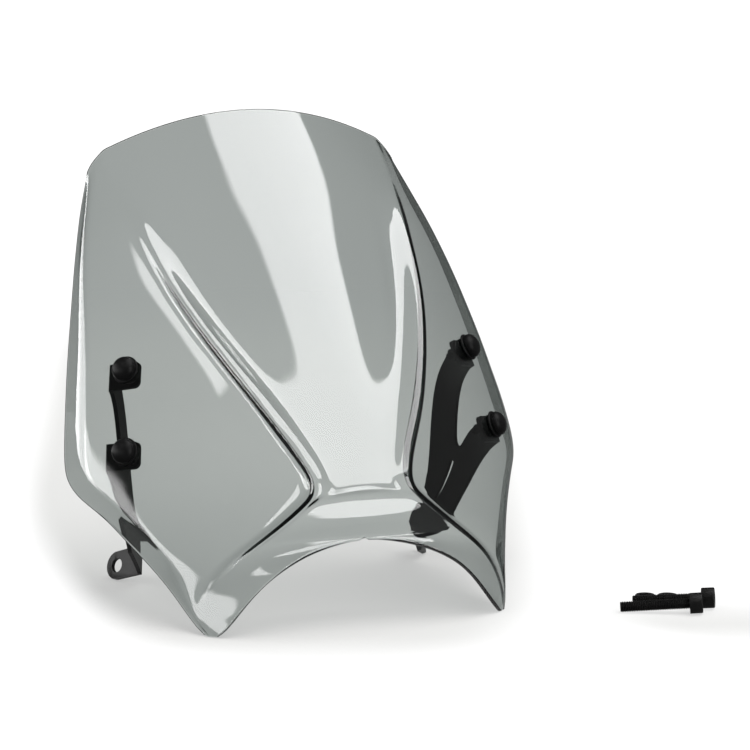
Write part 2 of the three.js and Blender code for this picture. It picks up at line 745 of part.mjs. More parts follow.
// ---------------------------------------------------------------- loose hardware
// A socket-head bolt lies on its head rim and the end of its shank, with the head towards +x.
function mountBolt({ tip, turn }) {
  const shank = 7.9 / 2;
  const head = 15 / 2;
  const long = 50;
  const top = long + 9.5;
  const tilt = Math.asin((head - shank) / long);
  const axis = [
    Math.cos(turn) * Math.cos(tilt),
    Math.sin(turn) * Math.cos(tilt),
    Math.sin(tilt),
  ];
  const clearance = 0.02; // above the ground
  const at = [...tip, shank * Math.cos(tilt) + clearance];
  const profile = [
    [0, 0], [shank - 0.9, 0], [shank, 0.9], [shank, long],
    [head, long], [head, top - 0.7], [head - 0.7, top], [0, top],
  ];
  return turned(profile, 20, at, axis).subtract(hexagon(6, top - 4, top + 2, at, axis));
}

// A spring lock washer: one turn with a slanted cut.
function lockWasher({ at: [x, y], turn }) {
  const outer = 14.4 / 2;
  const inner = 8.4 / 2;
  const thick = 2;
  const cut = { long: 6, wide: 0.9, high: 6, slant: 0.5 };
  const profile = [[inner, 0], [outer, 0], [outer, thick], [inner, thick], [inner, 0]];
  const ring = turned(profile, 24, [x, y, 0], [0, 0, 1]);
  const cutter = new THREE.BoxGeometry(cut.long, cut.wide, cut.high);
  cutter.rotateX(cut.slant);
  cutter.translate((outer + inner) / 2, 0, thick / 2);
  cutter.rotateZ(turn);
  cutter.translate(x, y, 0);
  return ring.subtract(solid(cutter));
}

// Places on the ground, with turns about +Z in radians.
const loose = {
  boltFront: { tip: [188.2, -34.9], turn: -0.43 },
  boltRear: { tip: [204.6, -20.4], turn: -0.5 },
  lockA: { at: [224.0, 0.4], turn: 2.2 },
  lockB: { at: [239.3, -5.6], turn: 4.0 },
};

// ---------------------------------------------------------------- assembly
const atCentrePlane = new THREE.Group();
function put(name, made, look) {
  const mesh = new THREE.Mesh(geometryOf(made), new THREE.MeshStandardMaterial(look));
  mesh.name = name;
  atCentrePlane.add(mesh);
}
function putPair(name, made, look) {
  put(`${name}_right`, made, look);
  put(`${name}_left`, mirrored(made), look);
}

putPair("bracket", bracket(), looks.coat);
for (const [name, fixing] of Object.entries(fixings)) {
  putPair(`cap_${name}`, cap(fixing), looks.gloss);
  putPair(`cup_washer_${name}`, cupWasher(fixing), looks.gloss);
  putPair(`screw_${name}`, screw(fixing), looks.steel);
  putPair(`bush_${name}`, bush(fixing), looks.rubber);
  putPair(`nut_${name}`, nut(fixing), looks.steel);
}
put("windscreen", windscreen(), looks.acrylic);
put("mount_bolt_front", mountBolt(loose.boltFront), looks.oxide);
put("mount_bolt_rear", mountBolt(loose.boltRear), looks.oxide);
put("lock_washer_a", lockWasher(loose.lockA), looks.oxide);
put("lock_washer_b", lockWasher(loose.lockB), looks.oxide);

// the origin is the middle of the ground the whole set covers
const covered = new THREE.Box3().setFromObject(atCentrePlane);
atCentrePlane.position.set(
  -(covered.min.x + covered.max.x) / 2,
  -(covered.min.y + covered.max.y) / 2,
  0,
);
const windshield = new THREE.Group();
windshield.name = "windshield_screen";
windshield.add(atCentrePlane);
export default windshield;
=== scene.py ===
"""A smoke acrylic motorcycle windshield screen on black steel brackets, with its loose mounting bolts.

Shapes are drawn in millimetres in a design frame: x = 0 is the screen's centre plane and +x its right
side, the outer face looks towards -y (the front), and the floor is z = 0. metres() takes points from
there to the scene.
"""
import math

import bpy
import numpy as np
from mathutils import Matrix, Vector


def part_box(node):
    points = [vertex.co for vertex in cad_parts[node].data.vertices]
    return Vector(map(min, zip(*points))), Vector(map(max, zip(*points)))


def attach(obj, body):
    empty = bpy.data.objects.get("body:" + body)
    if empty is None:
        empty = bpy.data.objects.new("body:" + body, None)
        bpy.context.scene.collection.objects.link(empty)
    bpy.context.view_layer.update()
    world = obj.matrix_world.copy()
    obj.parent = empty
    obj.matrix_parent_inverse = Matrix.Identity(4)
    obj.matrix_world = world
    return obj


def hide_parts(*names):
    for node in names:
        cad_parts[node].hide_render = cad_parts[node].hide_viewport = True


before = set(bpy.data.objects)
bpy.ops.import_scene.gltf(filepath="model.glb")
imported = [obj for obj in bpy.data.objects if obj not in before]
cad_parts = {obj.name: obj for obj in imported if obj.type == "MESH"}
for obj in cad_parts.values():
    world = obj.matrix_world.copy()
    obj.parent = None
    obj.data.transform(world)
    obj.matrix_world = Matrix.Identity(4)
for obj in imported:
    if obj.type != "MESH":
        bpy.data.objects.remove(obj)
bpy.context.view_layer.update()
scene = bpy.context.scene

# ---------------------------------------------------------------- shared places and sizes
# The CAD screen is symmetric about its own centre plane, so its box gives the frame's offset in x.
low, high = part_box("windscreen")
SHIFT = np.array([(low.x + high.x) * 500, -95.3848, 0.0])
SIDES = {"right": np.array([1.0, 1.0, 1.0]), "left": np.array([-1.0, 1.0, 1.0])}
MIRROR = SIDES["left"]

# The fixings on the right side: where each axis meets the sheet's outer face, and its way outwards.
FIXINGS = {
    "upper": (np.array([132.8992, 124.9952, 170.8114]), np.array([0.6706, -0.5718, 0.4727])),
    "lower": (np.array([142.6793, 96.1053, 116.7926]), np.array([0.6962, -0.6126, 0.3741])),
}
BORE_R = 2.85        # bore of the cup washers, bushes and nuts
PLATE = 3.0          # thickness of the bracket plate
TAB_NEAR = 8.5       # from the sheet's outer face back to the near face of a bracket tab


def unit(v):
    v = np.asarray(v, float)
    return v / np.linalg.norm(v)


def metres(points):
    return (np.asarray(points, float) + SHIFT) / 1000.0


# ---------------------------------------------------------------- mesh helpers
def shade(obj, sharp):
    """Smooth shading with edges sharper than an angle in degrees kept hard."""
    obj.data.shade_smooth()
    obj.data.set_sharp_from_angle(angle=math.radians(sharp))


def add_mesh(name, points, faces, smooth=True, sharp=None):
    """A mesh object from points in the design frame."""
    mesh = bpy.data.meshes.new(name)
    mesh.from_pydata([tuple(p) for p in metres(points)], [], [tuple(int(i) for i in f) for f in faces])
    mesh.update()
    obj = bpy.data.objects.new(name, mesh)
    scene.collection.objects.link(obj)
    if sharp is not None:
        shade(obj, sharp)
    elif smooth:
        mesh.shade_smooth()
    return obj


def settle(obj):
    """Replaces an object's mesh with what its modifiers make of it."""
    graph = bpy.context.evaluated_depsgraph_get()
    graph.update()
    made = bpy.data.meshes.new_from_object(obj.evaluated_get(graph))
    made.name = obj.name
    obj.modifiers.clear()
    obj.data = made


def boolean(obj, operation, tools):
    """Applies the tools to obj in turn and removes them."""
    for tool in tools:
        modifier = obj.modifiers.new("boolean", "BOOLEAN")
        modifier.operation = operation
        modifier.solver = "MANIFOLD"
        modifier.object = tool
    settle(obj)
    for tool in tools:
        bpy.data.objects.remove(tool)


def basis(axis, lean=(0, 0, 1)):
    """Axes x, y, z with z along axis and x leaning towards lean."""
    z = unit(axis)
    lean = unit(lean)
    x = unit(lean - z * (lean @ z))
    return x, np.cross(z, x), z


def turned(name, profile, sides, at, axis, sharp=40, lean=(0, 0, 1), dent=None):
    """A solid of revolution from (radius, height) pairs.

    A profile that starts on the axis is capped there; any other is joined end to start. dent, if given,
    takes (radius, height, side) and says how far that vertex sinks.
    """
    x, y, z = basis(axis, lean)
    at = np.asarray(at, float)
    points, rings = [], []
    for radius, height in profile:
        if radius < 1e-6:
            rings.append([len(points)] * sides)
            points.append(at + z * height)
            continue
        rings.append(list(range(len(points), len(points) + sides)))
        for i in range(sides):
            a = 2 * math.pi * i / sides
            r = radius - dent(radius, height, i) if dent else radius
            points.append(at + x * r * math.cos(a) + y * r * math.sin(a) + z * height)
    pairs = list(zip(rings[:-1], rings[1:]))
    if rings[0][0] != rings[0][1]:
        pairs.append((rings[-1], rings[0]))
    faces = []
    for ring, following in pairs:
        for i in range(sides):
            j = (i + 1) % sides
            # on the axis the corners coincide, which leaves a triangle or nothing
            face = list(dict.fromkeys((ring[i], ring[j], following[j], following[i])))
            if len(face) > 2:
                faces.append(face)
    return add_mesh(name, points, faces, True, sharp)


def rod(name, radius, bottom, top, sides, at, axis, lean=(0, 0, 1)):
    profile = [(0, bottom), (radius, bottom), (radius, top), (0, top)]
    return turned(name, profile, sides, at, axis, lean=lean)


def hexagon(name, flats, bottom, top, at, axis):
    """A hexagonal rod, flats across its flats."""
    return rod(name, flats / math.sqrt(3), bottom, top, 6, at, axis)


def prism(name, outline, at, u, v, thick, holes=()):
    """A flat plate whose outline lies in the plane of u and v, half the thickness to each side."""
    w = np.cross(u, v)
    at = np.asarray(at, float)
    n = len(outline)
    area = sum(
        outline[i][0] * outline[(i + 1) % n][1] - outline[(i + 1) % n][0] * outline[i][1]
        for i in range(n)
    )
    if area < 0:
        outline = outline[::-1]
    points = [at + u * a + v * b + w * (thick / 2) for a, b in outline]
    points += [at + u * a + v * b - w * (thick / 2) for a, b in outline]
    faces = [list(range(n)), list(range(2 * n - 1, n - 1, -1))]
    for i in range(n):
        j = (i + 1) % n
        faces.append([i, i + n, j + n, j])
    obj = add_mesh(name, points, faces, False)
    if holes:
        tools = [prism(name + "_hole", hole, at, u, v, thick + 2) for hole in holes]
        boolean(obj, "DIFFERENCE", tools)
    return obj


def mirrored(obj, name):
    """A copy of obj on the other side of the screen's centre plane."""
    mesh = obj.data.copy()
    mesh.name = name
    made = bpy.data.objects.new(name, mesh)
    scene.collection.objects.link(made)
    centre = SHIFT[0] / 1000
    there = Matrix.Translation((centre, 0, 0))
    back = Matrix.Translation((-centre, 0, 0))
    mesh.transform(there @ Matrix.Scale(-1, 4, (1, 0, 0)) @ back)
    mesh.flip_normals()
    return made


def arc(cx, cy, r, a0, a1, n):
    angles = [a0 + (a1 - a0) * i / n for i in range(n + 1)]
    return [(cx + r * math.cos(a), cy + r * math.sin(a)) for a in angles]


def circle(cx, cy, r, n):
    return arc(cx, cy, r, 0, 2 * math.pi, n)[:-1]


def quarter(r0, h0, r1, h1, n):
    """A quarter ellipse from (r0, h0), heading up, round to (r1, h1), heading inwards."""
    angles = [i * math.pi / 2 / n for i in range(n + 1)]
    return [(r1 + (r0 - r1) * math.cos(a), h0 + (h1 - h0) * math.sin(a)) for a in angles]


# ---------------------------------------------------------------- the formed sheet
# Rows from the top of the right half down. Each: start (on the centre line, or from ARCH_ROW on along
# the headlight arch), crest of the rib, depth of its step, bulge of the side panel, fold of the return
# flange, cut edge.
SHEET_ROWS = [
    ((0, 240, 342.2), (107, 255, 315.5), 0, 0, (119.5, 256, 303.5), (121.8, 254.5, 298.5)),
    ((0, 217.5, 324), (107.5, 232, 298), 0, 0.5, (125.5, 243, 288), (126.4, 249.5, 284)),
    ((0, 190, 302), (106.8, 209, 282.5), 0, 1, (131, 230, 272), (131.8, 242, 269)),
    ((0, 160.5, 277.5), (103.9, 184, 266.5), 0.4, 1.5, (137.2, 217.5, 256), (138, 229.5, 251.5)),
    ((0, 128.5, 251.5), (99.6, 154.5, 243.7), 2, 1.5, (143.3, 202.2, 236.2), (145.3, 214.7, 227.6)),
    ((0, 102.5, 229), (93.6, 125.5, 222.6), 3.4, 1.5, (149, 183.5, 212.5), (151.2, 202, 204)),
    ((0, 78.5, 207.5), (85.4, 97.8, 202.6), 4.8, 1.8, (153.6, 167.5, 189.5), (156.6, 191, 182)),
    ((0, 55.5, 186), (75.6, 71.8, 183.1), 6.2, 2.8, (157.9, 154.5, 169.1), (161.7, 180, 160)),
    ((0, 35, 165), (64.9, 47.9, 163.8), 7.6, 4.5, (161.4, 145.5, 151), (165.8, 169.8, 140.5)),
    ((0, 17.5, 144.5), (53.7, 26.2, 144.2), 9.2, 7, (164.2, 137.5, 137), (169.2, 161.5, 122.5)),
    ((0, 3.0, 124), (41.0, 9.7, 123.2), 11, 9, (166.8, 128.3, 120), (172.3, 153, 105)),
    ((0, -9.5, 108), (33.6, -6.2, 106.6), 13, 9.5, (168.4, 119, 102), (174.6, 142, 90)),
    ((0, -16.5, 99.5), (36.5, -11.5, 98), 13.5, 8.5, (165.6, 109, 90.5), (169.4, 130, 79)),
    ((0, -9, 93.5), (43, -11.5, 92), 13, 7.5, (158.5, 96.5, 83.5), (161.5, 116.5, 72)),
    ((0, -15.5, 86), (51, -10.5, 85.5), 12, 6, (150.5, 81.5, 75), (154, 102.5, 64.5)),
    ((0, -16, 76), (62.5, -8, 76), 10.5, 4.5, (143, 67, 66.5), (147, 88.5, 54.5)),
    ((0, -12, 66.8), (76, -3.5, 65), 9, 3.5, (136.8, 54, 58.6), (140.7, 75.5, 46.5)),
    ((29, -13, 62.9), (88.5, 1.5, 55), 8, 2.5, (132, 43.5, 51.5), (134.5, 62.5, 37.8)),
    ((50.5, -15.9, 56.2), (99, 6, 45), 7, 2, (128.3, 35, 42.5), (129.8, 52, 30.5)),
    ((69.5, -17.3, 45.6), (107, 8.5, 34), 6, 1.5, (125.3, 28.5, 32.5), (126.5, 40, 24)),
    ((84.5, -14, 31.2), (112, 8.5, 23.5), 5, 1, (122.9, 22.5, 23), (123.8, 29, 17.5)),
    ((96.5, -10.5, 15.5), (114, 6, 13.8), 3.4, 0.5, (120.2, 16.5, 13.5), (120.8, 19.5, 11)),
    ((104, -8, 5.9), (113, 2.2, 5.5), 1.6, 0.3, (117, 9.5, 5.9), (117.6, 11.5, 5.2)),
    ((108.2, -4.2, 1.6), (111.4, -0.2, 0.9), 0.6, 0, (113.8, 3.3, 1.2), (114.8, 5, 1.8)),
]
ARCH_ROW = 16
# One value for each row:
# how far the middle panel flattens before the rib
FLATTEN = [0, 0, 0.15, 0.4, 0.6, 0.8, 1.0, 1.25, 1.4, 1.3, 1.0, 0.8, 0.5, 0.2] + [0] * 10
# how high the rib's bead stands
BEAD = [
    0, 0, 0, 0.8, 2.4, 3.8, 4.9, 5.7, 6.2, 6.4, 6.2, 5.0,
    3.0, 1.8, 1.3, 1.0, 0.7, 0.4, 0.2, 0, 0, 0, 0, 0,
]
# how hollow the side panel is just outside the bead
HOLLOW = [0, 0, 0, 0.5, 1.5, 1.9, 2.2, 2.5, 2.9, 3.0, 2.4, 1.0, 0.3] + [0] * 11
# how deep the valley inside the bead is, as a share of the bead's height
VALLEY = [0, 0, 0.4, 0.4, 0.45, 0.4, 0.3, 0.15] + [0] * 16
# how wide the bead's inner flank is
FLANK = [8, 8, 9, 11, 13, 15, 17, 19, 21, 22, 21, 17, 12, 9, 8, 7, 7, 6, 6, 5, 5, 5, 5, 5]
BEAD_OUT = 5.5                        # width of the bead's outer flank
HOLLOW_RISE, HOLLOW_FADE = 4.0, 14.0  # lengths over which the hollow sets in and dies out
VALLEY_AT, VALLEY_WIDE = 19.0, 8.0    # from the crest inwards to the valley, and its width

# A row is smoothed over ROUND_IN, and over ROUND_FOLD more near the fold, but no more than a share of
# its length.
ROUND_IN, ROUND_FOLD, ROUND_SHARE = 6.0, 5.0, 0.16
FOLD_STARTS, FOLD_BLEND = 2.4, 0.45   # column where the wider smoothing starts, and columns it takes
FINE = 96                             # steps along each long part of a row, before smoothing
PART_STARTS = np.cumsum([0, FINE, FINE // 4, FINE, FINE])

SHEET = 3.0                           # thickness
EVEN_OUT = 5.0                        # width over which the inner face's normals are averaged
EDGE_STEPS, EDGE_BULGE = 6, 0.8       # the rounded cut edge
DRILL_R = 4.9

# Where the mesh has its rows, in rows of the table, and its columns. Columns 0 to 1 run from the start
# to the crest, 1 to 2 down the step to its foot, 2 to 3 to the fold and 3 to 4 to the cut edge.
ROW_STATIONS = np.concatenate([
    [0, 0.02, 0.07],
    np.linspace(0, 10, 46)[1:],
    np.linspace(10, 17, 57)[1:],
    np.linspace(17, 22, 26)[1:],
    np.linspace(22, 23, 9)[1:-1],
    [22.97, 23],
])
COLUMN_STATIONS = np.concatenate([
    [0, 0.01],
    np.linspace(0, 0.7, 18)[1:],
    np.linspace(0.7, 0.86, 8)[1:],
    np.linspace(0.86, 1, 11)[1:],
    np.linspace(1, 2, 13)[1:],
    np.linspace(2, 2.12, 6)[1:],
    np.linspace(2.12, 2.86, 19)[1:],
    np.linspace(2.86, 3.14, 11)[1:],
    np.linspace(3.14, 4, 8)[1:-1],
    [3.97, 4],
])


def spline(points, t, before=None):
    """The point at t on a uniform cubic B-spline, which ends on the end points unless before is given."""
    points = np.asarray(points, float)
    last = len(points) - 1
    if before is None:
        before = 2 * points[0] - points[1]
    controls = np.vstack([before, points, 2 * points[last] - points[last - 1]])
    i = min(int(t), last - 1)
    f = t - i
    g = 1 - f
    return (
        controls[i] * g**3 / 6
        + controls[i + 1] * (3 * f**3 - 6 * f**2 + 4) / 6
        + controls[i + 2] * (-3 * f**3 + 3 * f**2 + 3 * f + 1) / 6
        + controls[i + 3] * f**3 / 6
    )


def row_value(values, t):
    """A single number for each row, read at t."""
    return float(spline(np.asarray(values, float)[:, None], t)[0])


START, CREST, STEP_DEPTH, SIDE_BULGE, FOLD, EDGE = (
    np.array([row[j] for row in SHEET_ROWS], float) for j in range(6)
)
ARCH_LINE = START[ARCH_ROW:]
ARCH_BEFORE = ARCH_LINE[1] * MIRROR
CENTRE_LINE = np.vstack([START[:ARCH_ROW], spline(ARCH_LINE, 0.0, ARCH_BEFORE)])


def row_start(t):
    if t <= ARCH_ROW:
        return spline(CENTRE_LINE, t)
    return spline(ARCH_LINE, t - ARCH_ROW, ARCH_BEFORE)


def step_foot(crest, fold, depth):
    """The foot of the step, just outside the crest."""
    outward = unit([fold[0] - crest[0], fold[1] - crest[1]])
    width = 0.38 * depth + 1.4
    return np.array([
        crest[0] + width * 0.9 + outward[0] * 0.4,
        crest[1] + depth + 1.4 * outward[1],
        crest[2] + (fold[2] - crest[2]) * 0.03 - 0.02 * depth,
    ])


def row_line(t):
    """The unsmoothed line of the row at t, from its start to the cut edge."""
    start = row_start(t)
    crest, fold, edge = (spline(column, t) for column in (CREST, FOLD, EDGE))
    foot = step_foot(crest, fold, row_value(STEP_DEPTH, t))
    across = unit(np.cross(fold - foot, [0, 0, 1]))
    q = np.linspace(0, 1, FINE + 1)[:, None]
    if t <= ARCH_ROW:
        flat = row_value(FLATTEN, t)
        share = (1 - flat) * q**2 + flat * (3 * q**2 - 2 * q**3)
        panel = np.hstack([
            start[0] + (crest[0] - start[0]) * q,
            start[1] + (crest[1] - start[1]) * share,
            start[2] + (crest[2] - start[2]) * share,
        ])
    else:
        # below the arch's top the panel bows forward, less so over the next five rows
        bow = max(0.0, (crest[1] - start[1]) * 0.25 * max(0.0, 1 - (t - ARCH_ROW) / 5))
        panel = start * (1 - q) + crest * q + np.array([0, -1, 0]) * 4 * q * (1 - q) * bow
    q_step = np.linspace(0, 1, FINE // 4 + 1)[:, None]
    step = crest * (1 - q_step) + foot * q_step
    side = foot * (1 - q) + fold * q + across * 4 * q * (1 - q) * row_value(SIDE_BULGE, t)
    flange = fold * (1 - q) + edge * q
    return np.vstack([panel, step[1:], side[1:], flange[1:]])


def run_on(line, run, span, mirror_start):
    """The line and its running lengths, run on past both ends to give the smoothing something to average."""
    if mirror_start:
        near = run < span
        near[0] = False
        lead, lead_run = line[near][::-1] * MIRROR, -run[near][::-1]
    else:
        lead, lead_run = (line[0] - unit(line[1] - line[0]) * span)[None], np.array([-span])
    tail = (line[-1] + unit(line[-1] - line[-2]) * span)[None]
    return np.vstack([lead, line, tail]), np.concatenate([lead_run, run, [run[-1] + span]])


def rib_relief(t, beyond):
    """How far the face stands out at each distance beyond the rib's crest, negative towards the centre."""
    bead, hollow, valley, flank = (row_value(v, t) for v in (BEAD, HOLLOW, VALLEY, FLANK))
    inside = 0.5 * (1 + np.cos(np.pi * np.clip(beyond / flank, -1, 0)))
    inside -= valley * np.exp(-(((beyond + VALLEY_AT) / VALLEY_WIDE) ** 2))
    # the valley's tail lowers the crest, and the outer flank starts from there
    crest = 1 - valley * math.exp(-((VALLEY_AT / VALLEY_WIDE) ** 2))
    outside = bead * crest * np.exp(-((beyond / BEAD_OUT) ** 2))
    fade = np.exp(-np.maximum(beyond, 0) / HOLLOW_FADE)
    outside -= hollow * (1 - np.exp(-((beyond / HOLLOW_RISE) ** 2))) * fade
    return np.where(beyond < 0, bead * inside, outside)


def grid_normals(grid):
    """Unit normals of a grid of points, pointing out of the sheet's outer face."""
    normals = np.cross(np.gradient(grid, axis=0), np.gradient(grid, axis=1))
    return normals / (np.linalg.norm(normals, axis=2)[..., None] + 1e-12)


def outer_face():
    """The right half of the outer face, as a grid of rows and columns."""
    columns = COLUMN_STATIONS
    kernel = np.arange(-24, 25) / 24.0
    weight = (1 - kernel**2) ** 2
    weight /= weight.sum()
    part = np.minimum(np.floor(columns).astype(int), 3)
    fold = np.clip((columns - FOLD_STARTS) / FOLD_BLEND, 0, 1)
    rounding = ROUND_IN + ROUND_FOLD * fold * fold * (3 - 2 * fold)
    grid = np.zeros((len(ROW_STATIONS), len(columns), 3))
    relief = np.zeros(grid.shape[:2])
    for row, t in enumerate(ROW_STATIONS):
        line = row_line(t)
        run = np.concatenate([[0], np.cumsum(np.linalg.norm(np.diff(line, axis=0), axis=1))])
        starts = run[PART_STARTS]
        places = starts[part] + (columns - part) * (starts[part + 1] - starts[part])
        reach = np.minimum(rounding, ROUND_SHARE * run[-1])
        full, full_run = run_on(line, run, reach.max() * 1.5, t <= ARCH_ROW)
        samples = places[:, None] + kernel[None] * reach[:, None]
        for axis in range(3):
            grid[row, :, axis] = np.interp(samples, full_run, full[:, axis]) @ weight
        if t <= ARCH_ROW:
            grid[row, columns == 0, 0] = 0.0
        relief[row] = rib_relief(t, places - starts[1])
    return grid + grid_normals(grid) * relief[..., None]


def inner_face(grid):
    """The inner face, set back along normals averaged over a few millimetres of each row.

    The averaging thins the sheet a little over the sharp crest of the rib.
    """
    normals = grid_normals(grid)
    averaged = np.zeros_like(grid)
    for i, t in enumerate(ROW_STATIONS):
        run = np.concatenate([[0], np.cumsum(np.linalg.norm(np.diff(grid[i], axis=0), axis=1))])
        share = np.gradient(run)
        weight = np.exp(-(((run[:, None] - run[None]) / EVEN_OUT) ** 2)) * share[None]
        averaged[i] += weight @ normals[i]
        if t <= ARCH_ROW:
            # the left half counts too, except the centre line both halves share
            weight = np.exp(-(((run[:, None] + run[None]) / EVEN_OUT) ** 2)) * share[None]
            weight[:, 0] = 0
            averaged[i] += weight @ (normals[i] * MIRROR)
            averaged[i, 0, 0] = 0
    averaged /= np.linalg.norm(averaged, axis=2)[..., None]
    return grid - averaged * SHEET


def both_halves(grid, back):
    """Outer points, inner points and outer quads of the whole sheet, joined along the centre line."""
    rows, columns = grid.shape[:2]
    half = rows * columns
    index = np.arange(half).reshape(rows, columns)
    merge = np.arange(2 * half)
    shared = index[ROW_STATIONS <= ARCH_ROW, 0]
    merge[half + shared] = shared
    right = np.stack([
        index[:-1, :-1].ravel(), index[1:, :-1].ravel(), index[1:, 1:].ravel(), index[:-1, 1:].ravel(),
    ], 1)
    quads = merge[np.vstack([right, right[:, ::-1] + half])]
    used, inverse = np.unique(quads, return_inverse=True)
    outer, inner = (
        np.vstack([g.reshape(-1, 3), g.reshape(-1, 3) * MIRROR])[used] for g in (grid, back)
    )
    return outer, inner, inverse.reshape(quads.shape)


def vertex_normals(points, quads):
    """Vertex normals weighted by area."""
    corners = points[quads]
    face_normals = np.cross(corners[:, 2] - corners[:, 0], corners[:, 3] - corners[:, 1])
    normals = np.zeros_like(points)
    for k in range(4):
        np.add.at(normals, quads[:, k], face_normals)
    return normals / np.linalg.norm(normals, axis=1)[:, None]


def windscreen():
    grid = outer_face()
    outer, inner, quads = both_halves(grid, inner_face(grid))
    normals = vertex_normals(outer, quads)
    count = len(outer)
    # boundary edges, in the direction their face runs
    edges = dict.fromkeys((f[k], f[(k + 1) % 4]) for f in quads for k in range(4))
    rim = [(a, b) for a, b in edges if (b, a) not in edges]
    outward = {}
    for a, b in rim:
        along = unit(outer[b] - outer[a])
        for vertex in (a, b):
            outward[vertex] = outward.get(vertex, 0) + np.cross(along, normals[vertex])
    # a rounded edge from the outer face to the inner one
    edge_points, chains = [], {}
    for vertex, direction in outward.items():
        direction = unit(direction)
        chain = [vertex]
        for k in range(1, EDGE_STEPS):
            angle = math.pi * k / EDGE_STEPS
            depth = (inner[vertex] - outer[vertex]) * (1 - math.cos(angle)) / 2
            chain.append(2 * count + len(edge_points))
            edge_points.append(outer[vertex] + depth + direction * EDGE_BULGE * math.sin(angle))
        chains[vertex] = chain + [vertex + count]
    faces = [list(f) for f in quads] + [[i + count for i in f[::-1]] for f in quads]
    for a, b in rim:
        first, second = chains[a], chains[b]
        for k in range(EDGE_STEPS):
            faces.append([second[k], first[k], first[k + 1], second[k + 1]])
    obj = add_mesh("screen_sheet", np.vstack([outer, inner, np.array(edge_points)]), faces)
    drills = [
        rod("drill", DRILL_R, -9, 6, 48, at * side, axis * side)
        for at, axis in FIXINGS.values()
        for side in SIDES.values()
    ]
    boolean(obj, "DIFFERENCE", drills)
    shade(obj, 50)
    return obj


# ---------------------------------------------------------------- brackets
# The right plate's plane: its normal, and the across (mostly forward) and up axes its outline uses.
PLATE_NORMAL = unit([0.862, 0.501, -0.07])
PLATE_ACROSS = unit([PLATE_NORMAL[1], -PLATE_NORMAL[0], 0])
PLATE_UP = np.cross(PLATE_ACROSS, PLATE_NORMAL)
PLATE_AT = np.array([109.254, 169.108, 0])

# The lug is folded out of the plate's foot: its normal, the way along the fold and the way out from it.
LUG_NORMAL = unit([0.86, -0.38, 0.34])
LUG_ALONG = unit(np.cross(PLATE_NORMAL, LUG_NORMAL))
LUG_OUT = np.cross(LUG_NORMAL, LUG_ALONG)
LUG_AT = PLATE_AT + PLATE_UP * 14.03
LUG_R, LUG_HOLE_R = 10.6, 5.3
LUG_REACH = 23.4                      # from the fold out to the hole
# the hole's place along the fold, such that the round end of the lug stands on the floor
LUG_SHIFT = (
    LUG_AT[2] + LUG_OUT[2] * LUG_REACH
    - (math.sqrt(1 - LUG_NORMAL[2] ** 2) * LUG_R + PLATE / 2 * LUG_NORMAL[2])
) / -LUG_ALONG[2]
LUG_FOLD_ENDS = (-15.5, 6.5)          # along the fold

# A tab's extent along its fold, its length beyond the hole, its corner radius and its hole's radius
TAB_LOW, TAB_HIGH, TAB_END, TAB_CORNER, TAB_HOLE_R = -11.0, 9.0, 7.0, 4.5, 3.0

# The plate's outline as (across, up), in turn: from the lug up to the upper tab, between the tabs, and
# from the lower tab back down to the lug.
REAR_EDGE = [
    (-4.4, 35.5), (0.2, 43), (4, 52.6), (6.6, 61.5), (8, 70.5), (8.8, 84), (9, 97), (9.2, 109.4),
    (10, 124), (11.4, 135.2), (14.2, 146.6), (18.6, 156.3), (23.6, 164), (29.2, 169.6),
]
NOTCH_EDGE = [
    (39.6, 150.3), (34.9, 141.4), (32.7, 132.1), (31.7, 122), (31.5, 112), (31.8, 102), (32.6, 96),
    (33.8, 93.4), (35.6, 92.2), (37.4, 92.9), (39.2, 95.4), (44.2, 103.6), (48.4, 108.4), (53, 112.2),
]
FRONT_EDGE = [
    (64.4, 94.2), (59.3, 87.8), (55, 81.3), (50.6, 73.4), (46.4, 65.6), (42.4, 58.4), (38.4, 51.4),
    (33.6, 42.8), (29.6, 35.6), (28.4, 32.4), (26.6, 29.9), (24.2, 28), (18, 22.7), (10.4, 16), (6, 11.6),
]
SLOT = [
    (31.9, 79.2), (31.6, 80.6), (30.4, 81.2), (29.2, 80.6), (28.7, 79.4), (26.2, 71.6), (22.8, 63),
    (19.2, 55.8), (15.9, 50), (15.7, 48.9), (16.8, 49.2), (20.6, 54.6), (25.2, 62.2), (29.2, 71),
]


def on_plate(point):
    """A point's (across, up) on the plate."""
    q = np.asarray(point) - PLATE_AT
    return np.array([q @ PLATE_ACROSS, q @ PLATE_UP])


class Tab:
    """Where the tab behind a fixing leaves the plate, and which way it goes."""

    def __init__(self, at, axis):
        middle = at - axis * (TAB_NEAR + PLATE / 2)
        self.up = unit(np.cross(axis, PLATE_NORMAL))
        self.inward = np.cross(axis, self.up)
        # from the plate to the hole
        self.gap = ((PLATE_AT - middle) @ PLATE_NORMAL) / (-self.inward @ PLATE_NORMAL)
        self.root = middle - self.inward * self.gap

    def corner(self, height):
        """The point of the plate's outline at a height along the tab's fold."""
        return tuple(on_plate(self.root) + on_plate(PLATE_AT + self.up) * height)

    def outline(self):
        end, q = self.gap + TAB_END - TAB_CORNER, TAB_CORNER
        lower = arc(end, TAB_LOW + q, q, -math.pi / 2, 0, 10)
        upper = arc(end, TAB_HIGH - q, q, 0, math.pi / 2, 10)
        return [(0, TAB_LOW)] + lower + upper + [(0, TAB_HIGH)]


